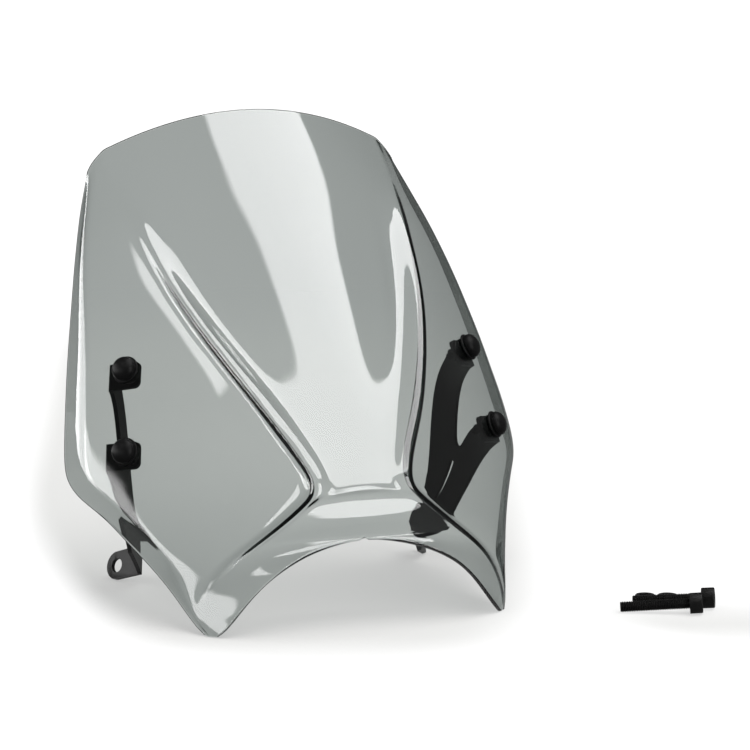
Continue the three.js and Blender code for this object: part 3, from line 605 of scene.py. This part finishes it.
def smooth_closed(points, corners, steps=4):
    """A closed Catmull-Rom outline, with the points whose index is in corners left sharp."""
    outline = []
    n = len(points)
    q = [np.asarray(p, float) for p in points]
    for i in range(n):
        j = (i + 1) % n
        p0 = q[i - 1] if i not in corners else q[i] * 2 - q[j]
        p3 = q[(i + 2) % n] if j not in corners else q[j] * 2 - q[i]
        p1, p2 = q[i], q[j]
        if i in corners and j in corners:
            outline.append(tuple(p1))
            continue
        for k in range(steps):
            t = k / steps
            square = (2 * p0 - 5 * p1 + 4 * p2 - p3) * t**2
            cube = (3 * p1 - p0 - 3 * p2 + p3) * t**3
            outline.append(tuple(0.5 * (2 * p1 + (p2 - p0) * t + square + cube)))
    return outline


def plate_outline(upper, lower):
    fold_top, fold_bottom = (tuple(on_plate(LUG_AT + LUG_ALONG * f)) for f in LUG_FOLD_ENDS)
    upper_ends = [upper.corner(TAB_HIGH), upper.corner(TAB_LOW)]
    lower_ends = [lower.corner(TAB_HIGH), lower.corner(TAB_LOW)]
    points = [
        fold_top, *REAR_EDGE, *upper_ends, *NOTCH_EDGE, *lower_ends, *FRONT_EDGE, fold_bottom,
    ]
    sharp = [fold_top, *upper_ends, *lower_ends, fold_bottom]
    return smooth_closed(points, {points.index(p) for p in sharp})


def lug_outline():
    """The fold's two ends joined by tangents to the round end."""

    def tangent(along, side):
        dx, dy = along - LUG_SHIFT, 0 - LUG_REACH
        return math.atan2(dy, dx) + side * math.acos(LUG_R / math.hypot(dx, dy))

    first, last = LUG_FOLD_ENDS
    a0, a1 = tangent(first, -1), tangent(last, 1)
    while a1 > a0:
        a1 -= 2 * math.pi
    return [(first, 0)] + arc(LUG_SHIFT, LUG_REACH, LUG_R, a0, a1, 40) + [(last, 0)]


def bend(start, end):
    """A rod that rounds a fold of the plate."""
    length = np.linalg.norm(end - start)
    return rod("bend", PLATE / 2, 0, length, 32, start, end - start, PLATE_NORMAL)


def bracket(name):
    tabs = {level: Tab(*fixing) for level, fixing in FIXINGS.items()}
    slot = smooth_closed(SLOT, set())
    body = prism(name, plate_outline(**tabs), PLATE_AT, PLATE_ACROSS, PLATE_UP, PLATE, [slot])
    lug_hole = circle(LUG_SHIFT, LUG_REACH, LUG_HOLE_R, 48)
    pieces = [
        prism("lug", lug_outline(), LUG_AT, LUG_ALONG, LUG_OUT, PLATE, [lug_hole]),
        bend(*(LUG_AT + LUG_ALONG * f for f in LUG_FOLD_ENDS)),
    ]
    for tab in tabs.values():
        hole = circle(tab.gap, 0, TAB_HOLE_R, 40)
        pieces.append(prism("tab", tab.outline(), tab.root, tab.inward, tab.up, PLATE, [hole]))
        pieces.append(bend(tab.root + tab.up * TAB_LOW, tab.root + tab.up * TAB_HIGH))
    boolean(body, "UNION", pieces)
    soft = body.modifiers.new("soft", "BEVEL")
    soft.width = 0.3 / 1000
    soft.segments = 2
    soft.limit_method = "ANGLE"
    soft.angle_limit = math.radians(40)
    soft.use_clamp_overlap = True
    settle(body)
    shade(body, 38)
    return body


# ---------------------------------------------------------------- fixings
# Heights run outwards along the fixing's axis, from the sheet's outer face.
CAP_R, CAP_BASE, CAP_TOP = 9.0, 2.2, 9.4
CUP_R = 10.3
SCREW_R, SCREW_HEAD_R, SCREW_HEAD_TOP = 2.5, 4.7, 4.9
BUSH_R = 8.3
NUT_FLATS, NUT_HIGH, NUT_CHAMFER = 8.0, 4.7, 0.5


def cap(name, at, axis):
    base, top, radius = CAP_BASE, CAP_TOP, CAP_R
    dome = [
        (7.0, base), (radius - 0.35, base), (radius, base + 0.3), (radius + 0.08, base + 0.7),
        (radius + 0.02, base + 1.3), *quarter(radius, base + 1.45, 0, top, 22),
    ]
    hollow = [
        (0, top - 2.0), (2.4, top - 2.2), (4.6, top - 2.9), (6.2, base + 3.3), (7.0, base + 2.2),
    ]
    return turned(name, dome + hollow, 72, at, axis, sharp=42)


def cup_washer(name, at, axis):
    profile = [
        (BORE_R, 0.3), (CUP_R - 0.6, 0.3), (CUP_R - 0.2, 0.42), (CUP_R, 0.75), (CUP_R - 0.05, 1.15),
        (CUP_R - 0.3, 1.6), (CUP_R - 0.7, 1.88), (CUP_R - 1.3, 1.95), (6.65, 1.95), (6.6, 2.05),
        (6.6, 3.8), (6.4, 4.0), (5.6, 4.0), (5.4, 3.8), (5.4, 1.9), (BORE_R, 1.9),
    ]
    return turned(name, profile, 72, at, axis, sharp=38)


def threaded(name, radius, depth, pitch, start, end, at, axis, sides, tip):
    """A shank from start to end along the axis with a helical thread, tapered over tip at its start."""
    x, y, z = basis(axis)
    at = np.asarray(at, float)
    steps_a_turn, run_out = 8, 0.6
    n = max(2, int(round((end - start) / pitch * steps_a_turn)))
    points, faces = [], []
    for k in range(n + 1):
        h = start + (end - start) * k / n
        fade = min(1.0, (h - start) / run_out, (end - h) / run_out)
        for i in range(sides):
            a = 2 * math.pi * i / sides
            phase = (h / pitch - a / (2 * math.pi)) % 1.0
            # a triangle wave, cut off to give the thread flat crests and roots
            groove = min(1, max(0, 1.25 * abs(2 * phase - 1) - 0.125))
            r = radius - depth * groove * fade
            if h - start < tip:
                r = min(r, radius - depth + (h - start) / tip * depth)
            points.append(at + x * r * math.cos(a) + y * r * math.sin(a) + z * h)
    for k in range(n):
        for i in range(sides):
            j = (i + 1) % sides
            faces.append([k * sides + i, k * sides + j, (k + 1) * sides + j, (k + 1) * sides + i])
    faces.append(list(range(sides))[::-1])
    faces.append([n * sides + i for i in range(sides)])
    return add_mesh(name, points, faces, True, 45)


def screw(name, at, axis):
    """A button-head screw with a hexagon socket."""
    shank = threaded(
        name, radius=SCREW_R, depth=0.42, pitch=0.8, start=-19.0, end=2.4, at=at, axis=axis,
        sides=32, tip=0.7,
    )
    r, top = SCREW_HEAD_R, SCREW_HEAD_TOP
    profile = [(0, 2.2), (r - 0.15, 2.2), (r, 2.35), (r, 2.75)]
    profile += quarter(r, 2.8, 2.3, top, 10)[1:] + [(0, top)]
    boolean(shank, "UNION", [turned("head", profile, 48, at, axis)])
    boolean(shank, "DIFFERENCE", [hexagon("socket", 3.0, 3.2, 6.0, at, axis)])
    shade(shank, 32)
    return shank


def bush(name, at, axis):
    """A grooved rubber ring behind the sheet, with a collar through the sheet's hole."""
    profile = [
        (BORE_R, -8.2), (BUSH_R - 1.1, -8.2), (BUSH_R - 0.4, -8.05), (BUSH_R, -7.5),
        (BUSH_R + 0.02, -6.4), (BUSH_R - 0.25, -5.9), (BUSH_R, -5.4), (BUSH_R, -4.5),
        (BUSH_R - 0.3, -3.85), (BUSH_R - 0.9, -3.6),
        (4.5, -3.6), (4.5, -0.5), (4.3, -0.3), (BORE_R, -0.3),
    ]
    return turned(name, profile, 64, at, axis)


def nut(name, at, axis):
    top = -(TAB_NEAR + PLATE + 0.3)
    base = top - NUT_HIGH
    body = hexagon(name, NUT_FLATS, base, top, at, axis)
    # the corners are chamfered by a cone at both faces
    profile = [
        (0, base), (3.9, base), (4.75, base + NUT_CHAMFER), (4.75, top - NUT_CHAMFER), (3.9, top),
        (0, top),
    ]
    boolean(body, "INTERSECT", [turned("cone", profile, 64, at, axis)])
    boolean(body, "DIFFERENCE", [rod("bore", BORE_R, base - 1, top + 1, 40, at, axis)])
    shade(body, 30)
    return body


# ---------------------------------------------------------------- loose hardware
BOLT_R, BOLT_LONG, BOLT_HEAD_R, BOLT_HEAD_H = 3.95, 50.0, 7.5, 9.5
WASHER_R_OUT, WASHER_R_IN, WASHER_THICK = 7.2, 4.2, 2.0
# Where each lies on the floor (bolts: the tip; washers: the centre), and its turn about z in radians.
LOOSE_BOLTS = {"front": ((188.2, -34.9), -0.43), "rear": ((204.6, -20.4), -0.5)}
LOOSE_WASHERS = {"a": ((224.0, 0.4), 2.2), "b": ((239.3, -5.6), 4.0)}


def mount_bolt(name, place, turn):
    """A socket-head bolt lying on the floor on its tip and the rim of its knurled head."""
    radius, base, top = BOLT_HEAD_R, BOLT_LONG, BOLT_LONG + BOLT_HEAD_H
    tilt = math.asin((radius - BOLT_R) / BOLT_LONG)
    axis = np.array([
        math.cos(turn) * math.cos(tilt), math.sin(turn) * math.cos(tilt), math.sin(tilt),
    ])
    at = np.array([*place, BOLT_R * math.cos(tilt) + 0.02])
    shank = threaded(
        name, radius=BOLT_R, depth=0.62, pitch=1.25, start=0, end=base + 0.3, at=at, axis=axis,
        sides=48, tip=1.0,
    )
    profile = [
        (0, base), (radius - 0.25, base), (radius, base + 0.25), (radius, top - 0.9),
        (radius - 0.12, top - 0.45), (radius - 0.5, top - 0.08), (radius - 0.9, top), (4.2, top),
        (3.8, top - 0.25), (0, top - 0.25),
    ]

    def knurl(r, height, i):
        """Fine flutes down the head's side, one vertex in three."""
        on_side = r >= radius - 1e-6 and height < top - 0.8
        return 0.14 if on_side and i % 3 == 0 else 0.0

    head = turned("bolt_head", profile, 144, at, axis, sharp=None, dent=knurl)
    boolean(shank, "UNION", [head])
    boolean(shank, "DIFFERENCE", [hexagon("socket", 6.0, top - 5.0, top + 2, at, axis)])
    shade(shank, 35)
    return shank


def lock_washer(name, place, turn):
    """One turn of square-section spring wire, cut on a slant."""
    gap, slant, steps = 0.12, 0.09, 96   # radians, radians for each mm of height, segments
    chamfer = 0.18
    outer, inner, thick = WASHER_R_OUT, WASHER_R_IN, WASHER_THICK
    section = [
        (inner, chamfer), (inner + chamfer, 0), (outer - chamfer, 0), (outer, chamfer),
        (outer, thick - chamfer), (outer - chamfer, thick), (inner + chamfer, thick),
        (inner, thick - chamfer),
    ]
    m = len(section)
    points, faces = [], []
    for k in range(steps + 1):
        along = turn + gap / 2 + (2 * math.pi - gap) * k / steps
        for r, h in section:
            a = along + (h - thick / 2) * slant
            points.append((place[0] + r * math.cos(a), place[1] + r * math.sin(a), h))
    for k in range(steps):
        for i in range(m):
            j = (i + 1) % m
            faces.append([k * m + i, (k + 1) * m + i, (k + 1) * m + j, k * m + j])
    faces.append(list(range(m)))
    faces.append([steps * m + i for i in range(m)][::-1])
    return add_mesh(name, points, faces, True, 40)


# ---------------------------------------------------------------- materials
class Nodes:
    """A short way to write the node tree of a material or world."""

    def __init__(self, owner, output="OutputMaterial"):
        self.owner = owner
        owner.use_nodes = True
        self.tree = owner.node_tree
        self.tree.nodes.clear()
        self.out = self.new(output)

    def new(self, kind, **values):
        """A node, with its properties and inputs given by name."""
        node = self.tree.nodes.new("ShaderNode" + kind)
        for key, value in values.items():
            if hasattr(node, key):
                setattr(node, key, value)
            else:
                self.feed(node.inputs[key], value)
        return node

    def feed(self, socket, value):
        """Links or sets an input, whichever the value calls for."""
        if isinstance(value, bpy.types.NodeSocket):
            self.tree.links.new(value, socket)
        else:
            socket.default_value = value

    def fed(self, node, values):
        """The first output of a node whose inputs are fed in order."""
        for socket, value in zip(node.inputs, values):
            self.feed(socket, value)
        return node.outputs[0]

    def math(self, operation, *values):
        return self.fed(self.new("Math", operation=operation), values)

    def scaled(self, value, times, plus):
        return self.math("MULTIPLY_ADD", value, times, plus)

    def remap(self, value, start, end, to_start=0.0, to_end=1.0, kind="SMOOTHSTEP"):
        node = self.new("MapRange", interpolation_type=kind)
        return self.fed(node, (value, start, end, to_start, to_end))

    def choose(self, factor, off, on):
        """A number that goes from off to on with the factor."""
        node = self.new("Mix", data_type="FLOAT")
        self.feed(node.inputs[0], factor)
        self.feed(node.inputs[2], off)
        self.feed(node.inputs[3], on)
        return node.outputs[0]

    def blend(self, factor, first, second):
        """A shader that goes from first to second with the factor."""
        return self.fed(self.new("MixShader"), (factor, first, second))

    def place(self):
        return self.new("TexCoord").outputs["Object"]

    def noise(self, where, scale, detail, **more):
        node = self.new("TexNoise", Vector=where, Scale=scale, Detail=detail, **more)
        return node.outputs["Fac"]

    def ramp(self, factor, stops):
        """A colour ramp through (position, colour) stops."""
        node = self.new("ValToRGB")
        elements = node.color_ramp.elements
        while len(elements) > 1:
            elements.remove(elements[-1])
        elements[0].position, elements[0].color = stops[0]
        for position, colour in stops[1:]:
            elements.new(position).color = colour
        self.feed(node.inputs[0], factor)
        return node.outputs[0]

    def bump(self, height, strength, distance, **more):
        node = self.new("Bump", Strength=strength, Distance=distance, Height=height, **more)
        return node.outputs[0]

    def surface(self, colour, roughness, normal, specular=0.5, **more):
        """Finishes a material as a Principled surface."""
        inputs = {
            "Base Color": colour, "Roughness": roughness, "Normal": normal,
            "Specular IOR Level": specular, **more,
        }
        self.feed(self.out.inputs[0], self.new("BsdfPrincipled", **inputs).outputs[0])
        return self.owner

    def outlined(self, across, along, corners, softness, inside=None):
        """1 to the left of every edge of an outline, each edge with its own softness to both sides.

        Multiplies the mask in inside, if one is given.
        """
        for (ax, ay), (bx, by), soft in zip(corners, corners[1:] + corners[:1], softness):
            ex, ey = unit([bx - ax, by - ay])
            left = self.math(
                "SUBTRACT", self.math("MULTIPLY", along, ex), self.math("MULTIPLY", across, ey)
            )
            left = self.math("SUBTRACT", left, ex * ay - ey * ax)
            edge = self.remap(left, -soft, soft)
            inside = edge if inside is None else self.math("MULTIPLY", inside, edge)
        return inside


WHITE = (1, 1, 1, 1)


def powder_coat():
    n = Nodes(bpy.data.materials.new("powder_coat_black"))
    where = n.place()
    fine = n.noise(where, scale=1900.0, detail=4.0, Roughness=0.6)
    broad = n.noise(where, scale=38.0, detail=3.0)
    colour = n.ramp(broad, [(0.3, (0.0035, 0.0035, 0.0037, 1)), (0.7, (0.006, 0.0059, 0.0058, 1))])
    roughness = n.scaled(fine, times=0.14, plus=0.46)
    edge = n.new("Bevel", Radius=0.0004, samples=4).outputs[0]
    normal = n.bump(fine, strength=0.12, distance=0.0001, Normal=edge)
    return n.surface(colour, roughness, normal, specular=0.14, IOR=1.5)


def gloss_plastic(name, tone, roughness):
    n = Nodes(bpy.data.materials.new(name))
    where = n.place()
    haze = n.noise(where, scale=160.0, detail=5.0)
    colour = n.ramp(haze, [
        (0.3, (tone, tone, tone, 1)),
        (0.7, (tone * 1.5, tone * 1.5, tone * 1.55, 1)),
    ])
    varied = n.scaled(haze, times=0.08, plus=roughness)
    fine = n.noise(where, scale=900.0, detail=2.0)
    normal = n.bump(fine, strength=0.05, distance=0.00005)
    return n.surface(colour, varied, normal, specular=0.045, IOR=1.5)


def rubber():
    n = Nodes(bpy.data.materials.new("rubber_black"))
    where = n.place()
    fine = n.noise(where, scale=1400.0, detail=5.0)
    dust = n.noise(where, scale=90.0, detail=4.0)
    colour = n.ramp(dust, [(0.35, (0.006, 0.006, 0.0062, 1)), (0.75, (0.012, 0.0118, 0.0115, 1))])
    roughness = n.scaled(fine, times=0.15, plus=0.62)
    normal = n.bump(fine, strength=0.2, distance=0.0001)
    return n.surface(colour, roughness, normal)


def black_steel(name, tone, roughness):
    n = Nodes(bpy.data.materials.new(name))
    where = n.place()
    fine = n.noise(where, scale=1100.0, detail=6.0, Roughness=0.7)
    patch = n.noise(where, scale=120.0, detail=3.0)
    colour = n.ramp(patch, [
        (0.3, (tone, tone, tone * 1.03, 1)),
        (0.75, (tone * 1.9, tone * 1.85, tone * 1.8, 1)),
    ])
    varied = n.scaled(fine, times=0.2, plus=roughness)
    normal = n.bump(fine, strength=0.12, distance=0.00006)
    return n.surface(colour, varied, normal, specular=0.07)


def acrylic():
    """Clear sheet with a light smoke body: its faces bend and mirror light, and its body absorbs it."""
    n = Nodes(bpy.data.materials.new("acrylic_smoke"))
    swirl = n.noise(n.place(), scale=9.0, detail=2.0)
    roughness = n.scaled(swirl, times=0.012, plus=0.0)
    glass = n.new("BsdfGlass", Roughness=roughness, IOR=1.49, Color=WHITE).outputs[0]
    # shadows and diffuse light pass straight through
    clear = n.new("BsdfTransparent", Color=(0.97, 0.975, 0.975, 1)).outputs[0]
    path = n.new("LightPath").outputs
    through = n.math("MAXIMUM", path["Is Shadow Ray"], path["Is Diffuse Ray"])
    n.feed(n.out.inputs["Surface"], n.blend(through, glass, clear))
    smoke = n.new("VolumeAbsorption", Density=330.0, Color=(0.0, 0.06, 0.035, 1))
    n.feed(n.out.inputs["Volume"], smoke.outputs[0])
    return n.owner


# ---------------------------------------------------------------- build
def dress(obj, material, body, node):
    obj.data.materials.clear()
    obj.data.materials.append(material)
    for polygon in obj.data.polygons:
        polygon.material_index = 0
    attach(obj, body)
    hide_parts(node)


coat = powder_coat()
cap_gloss = gloss_plastic("cap_gloss_black", tone=0.0022, roughness=0.36)
washer_gloss = gloss_plastic("cup_washer_black", tone=0.0025, roughness=0.42)
rubber_black = rubber()
zinc = black_steel("black_zinc", tone=0.008, roughness=0.3)
oxide = black_steel("black_oxide", tone=0.0022, roughness=0.2)
smoke_acrylic = acrylic()

# Each fixing's parts: builder, object name, material, slot, body of its own (if any), CAD node. The
# names are followed by the level and side.
FIXING_PARTS = [
    (cap, "snap_cap", cap_gloss, "cap_gloss", "snap_cap", "cap"),
    (cup_washer, "washer_cup", washer_gloss, "washer_gloss", None, "cup_washer"),
    (screw, "button_screw", zinc, "zinc_black", "screw_body", "screw"),
    (bush, "rubber_bush", rubber_black, "rubber", None, "bush"),
    (nut, "hex_nut", zinc, "zinc_black", None, "nut"),
]

dress(windscreen(), smoke_acrylic, "screen_set", "windscreen")
right_bracket = bracket("bracket_plate_right")
left_bracket = mirrored(right_bracket, "bracket_plate_left")
dress(right_bracket, coat, "screen_set", "bracket_right")
dress(left_bracket, coat, "screen_set", "bracket_left")
for level, (at, axis) in FIXINGS.items():
    for side_name, side in SIDES.items():
        tag = f"_{level}_{side_name}"
        for build, name, material, slot_name, own_body, node in FIXING_PARTS:
            part = build(name + tag, at * side, axis * side)
            body = own_body + tag if own_body else "screen_set"
            dress(part, material, body, node + tag)
for end, (place, turn) in LOOSE_BOLTS.items():
    bolt = mount_bolt(f"socket_bolt_{end}", place, turn)
    dress(bolt, oxide, f"mount_bolt_{end}_loose", f"mount_bolt_{end}")
for letter, (place, turn) in LOOSE_WASHERS.items():
    washer = lock_washer(f"spring_washer_{letter}", place, turn)
    dress(washer, oxide, f"lock_washer_{letter}_loose", f"lock_washer_{letter}")

# ---------------------------------------------------------------- floor
FLOOR_CENTRE, FLOOR_R = (20.0, 60.0), 6000.0
FLOOR_WHITE = 1.12                    # the far floor and backdrop, as the camera sees them
FLOOR_MIRRORED = 0.3                  # the far floor as it is mirrored
FLOOR_FILL, FLOOR_THROUGH = 0.36, 0.31  # painted light: glow of the matt shade patches in place of fill light, and the glow added through the acrylic
FLOOR_COLOUR = (0.205, 0.205, 0.2, 1)
# Painted shade round the screen and the bolts: matt patches, dimmer than the white far floor, where shade
# falls. Outlines and the softness of each edge, in mm
SCREEN_SHADE_PATCH = [
    (147.2, 1283.8), (14.7, 897.0), (-58.4, 679.0), (-119.1, 485.2), (-163.2, 238.1),
    (-174.7, 131.6), (-170.4, -0.5), (-140.6, -44.1), (43.3, -104.5), (109.4, -54.4),
    (181.1, 80.9), (253.0, 265.4), (543.9, 1134.4),
]
SCREEN_SHADE_SOFT = [34, 32, 32, 32, 34, 40, 48, 52, 54, 48, 42, 36, 230]
BOLT_SHADE_PATCH = [(168, -55), (200, -118), (330, -160), (345, -90), (190, -5)]
BOLT_SHADE_SOFT = [28, 42, 40, 60, 60]
BOLT_SHADE_STRENGTH = 0.9


def floor_material():
    n = Nodes(bpy.data.materials.new("floor_pale"))
    apart = n.new("SeparateXYZ", Vector=n.place())
    x, y = (n.math("SUBTRACT", apart.outputs[i], float(SHIFT[i] / 1000)) for i in range(2))

    def patch(corners, softness):
        corners = [(a / 1000, b / 1000) for a, b in corners]
        return n.outlined(x, y, corners, [soft / 1000 for soft in softness])

    # painted shade: inside these patches the floor is matt and dimmer than the white glow outside, and real
    # light and shadow fall on it there
    near = patch(SCREEN_SHADE_PATCH, SCREEN_SHADE_SOFT)
    bolts = patch(BOLT_SHADE_PATCH, BOLT_SHADE_SOFT)
    painted_shade_mask = n.math("MAXIMUM", near, n.math("MULTIPLY", bolts, BOLT_SHADE_STRENGTH))
    far = n.remap(painted_shade_mask, 0.0, 1.0, to_start=1.0, to_end=0.0, kind="LINEAR")
    dull = n.new("BsdfDiffuse", Color=FLOOR_COLOUR).outputs[0]
    # the far floor is white to look at, and dimmer where the object mirrors it
    path = n.new("LightPath").outputs
    strength = n.scaled(
        path["Is Reflection Ray"], times=FLOOR_MIRRORED - FLOOR_WHITE, plus=FLOOR_WHITE
    )
    glow = n.new("Emission", Strength=strength, Color=WHITE).outputs[0]
    # painted light: an even glow on the matt patches stands in for fill light, stronger when seen through
    # the acrylic
    strength = n.scaled(path["Is Transmission Ray"], times=FLOOR_THROUGH, plus=FLOOR_FILL)
    soft_glow = n.new("Emission", Strength=strength, Color=WHITE).outputs[0]
    lit = n.fed(n.new("AddShader"), (dull, soft_glow))
    n.feed(n.out.inputs[0], n.blend(far, lit, glow))
    return n.owner


def floor():
    """A disc whose rings widen outwards, just below z = 0."""
    rings, sides = 24, 96
    cx, cy = FLOOR_CENTRE
    points = [(cx, cy, 0.0)]
    for k in range(1, rings + 1):
        r = FLOOR_R * (k / rings) ** 2.2
        for i in range(sides):
            a = 2 * math.pi * i / sides
            points.append((cx + r * math.cos(a), cy + r * math.sin(a), 0.0))
    faces = [[0, 1 + i, 1 + (i + 1) % sides] for i in range(sides)]
    for k in range(rings - 1):
        inner = 1 + k * sides
        outer = inner + sides
        for i in range(sides):
            j = (i + 1) % sides
            faces.append([inner + i, outer + i, outer + j, inner + j])
    obj = add_mesh("studio_floor", points, faces, False)
    obj.location.z = -0.00005
    obj.data.materials.append(floor_material())


floor()

# ---------------------------------------------------------------- studio light
ROOM, ROOM_MIRRORED = 0.5, 0.1   # the room round the boxes, as it lights a matt surface and is mirrored
SPREAD = 0.4                     # share of the boxes' strength that lights a matt surface
BACKDROP_DARK = 0.03             # seen directly anywhere but ahead
AHEAD = (0.352, 0.936, 0.0)
AHEAD_FROM, AHEAD_TO = 0.55, 0.85  # cosines to AHEAD between which the backdrop turns white
# Soft boxes are drawn in the world: each is an outline on a plane one unit away in some direction.
# The planes: towards, across, along
ABOVE = ((0, 0, 1), (1, 0, 0), (0, 1, 0))
IN_FRONT = ((0, -1, 0), (1, 0, 0), (0, 0, 1))
AT_LEFT = ((-1, 0, 0), (0, 1, 0), (0, 0, 1))
SOFT_BOXES = [
    # plane, softness of the edges, strength, corners in turn as (across, along)
    (ABOVE, 0.02, 8.4, [
        (0.06, -0.7), (0.5, -0.72), (1.03, -0.5), (1.03, -0.22), (0.97, -0.03), (0.7, 0.34),
        (0.06, 0.34),
    ]),
    (ABOVE, 0.02, 8.4, [(0.06, 0.05), (-0.1, -0.2), (-0.44, -0.66), (0.06, -0.7)]),
    (ABOVE, 0.03, 8.0, [(-0.945, -0.4), (-0.6, -0.4), (-0.6, 0.13), (-0.85, 0.13)]),
    (IN_FRONT, 0.05, 9.0, [(0.08, -0.1), (0.75, -0.1), (0.75, 1.0), (0.08, 1.0)]),
    (AT_LEFT, 0.03, 8.0, [
        (-1.0, 0.22), (-0.1, 0.1), (0.35, 0.1), (0.35, 0.46), (-0.25, 0.4), (-1.0, 0.4),
    ]),
    (AT_LEFT, 0.05, 7.5, [(0.12, -0.22), (1.7, -0.25), (1.7, 0.55), (0.35, 0.5), (0.12, 0.06)]),
]


def studio():
    world = bpy.data.worlds.new("studio")
    scene.world = world
    n = Nodes(world, "OutputWorld")
    direction = n.new("TexCoord").outputs["Generated"]

    def dot(v):
        node = n.new("VectorMath", operation="DOT_PRODUCT")
        n.feed(node.inputs[0], direction)
        n.feed(node.inputs[1], v)
        return node.outputs["Value"]

    def soft_box(plane, soft, strength, corners):
        towards, across, along = plane
        depth = n.math("MAXIMUM", dot(towards), 1e-4)
        a = n.math("DIVIDE", dot(across), depth)
        b = n.math("DIVIDE", dot(along), depth)
        this_side = n.math("GREATER_THAN", dot(towards), 0.02)
        mask = n.outlined(a, b, corners, [soft] * len(corners), this_side)
        return n.math("MULTIPLY", mask, strength)

    total = None
    for box in SOFT_BOXES:
        light = soft_box(*box)
        total = light if total is None else n.math("ADD", total, light)
    path = n.new("LightPath").outputs
    room = n.choose(path["Is Diffuse Ray"], off=ROOM_MIRRORED, on=ROOM)
    spread = n.choose(path["Is Diffuse Ray"], off=1.0, on=SPREAD)
    total = n.math("ADD", n.math("MULTIPLY", total, spread), room)
    # looked at directly or through the acrylic, the world is a white backdrop
    seen = n.math("MAXIMUM", path["Is Camera Ray"], path["Is Transmission Ray"])
    backdrop = n.remap(dot(AHEAD), AHEAD_FROM, AHEAD_TO, BACKDROP_DARK, FLOOR_WHITE)
    value = n.choose(seen, off=total, on=backdrop)
    background = n.new("Background", Strength=1.0)
    n.feed(background.inputs["Color"], n.fed(n.new("CombineColor"), (value, value, value)))
    n.feed(n.out.inputs["Surface"], background.outputs[0])


studio()

# ---------------------------------------------------------------- camera
CAMERA_AT = (-940.852, -2531.859, 681.712)
forward = unit([0.34643, 0.92015, -0.18251])
sideways = unit([0.93587, -0.35234, 0.0])
upward = np.cross(sideways, forward)
camera = bpy.data.objects.new("camera", bpy.data.cameras.new("camera"))
scene.collection.objects.link(camera)
rotation = Matrix([[sideways[i], upward[i], -forward[i]] for i in range(3)])
camera.matrix_world = Matrix.Translation(Vector(metres(CAMERA_AT))) @ rotation.to_4x4()
camera.data.sensor_width = 36.0
camera.data.lens = 187.2
camera.data.clip_start = 0.1
camera.data.clip_end = 40.0
scene.camera = camera

# ---------------------------------------------------------------- render settings
scene.view_settings.view_transform = "Standard"
scene.view_settings.look = "None"
scene.view_settings.exposure = 0.0
scene.view_settings.gamma = 1.0
scene.cycles.max_bounces = 24
scene.cycles.transmission_bounces = 20
scene.cycles.glossy_bounces = 6
scene.cycles.diffuse_bounces = 3
scene.cycles.transparent_max_bounces = 32
scene.cycles.use_denoising = True
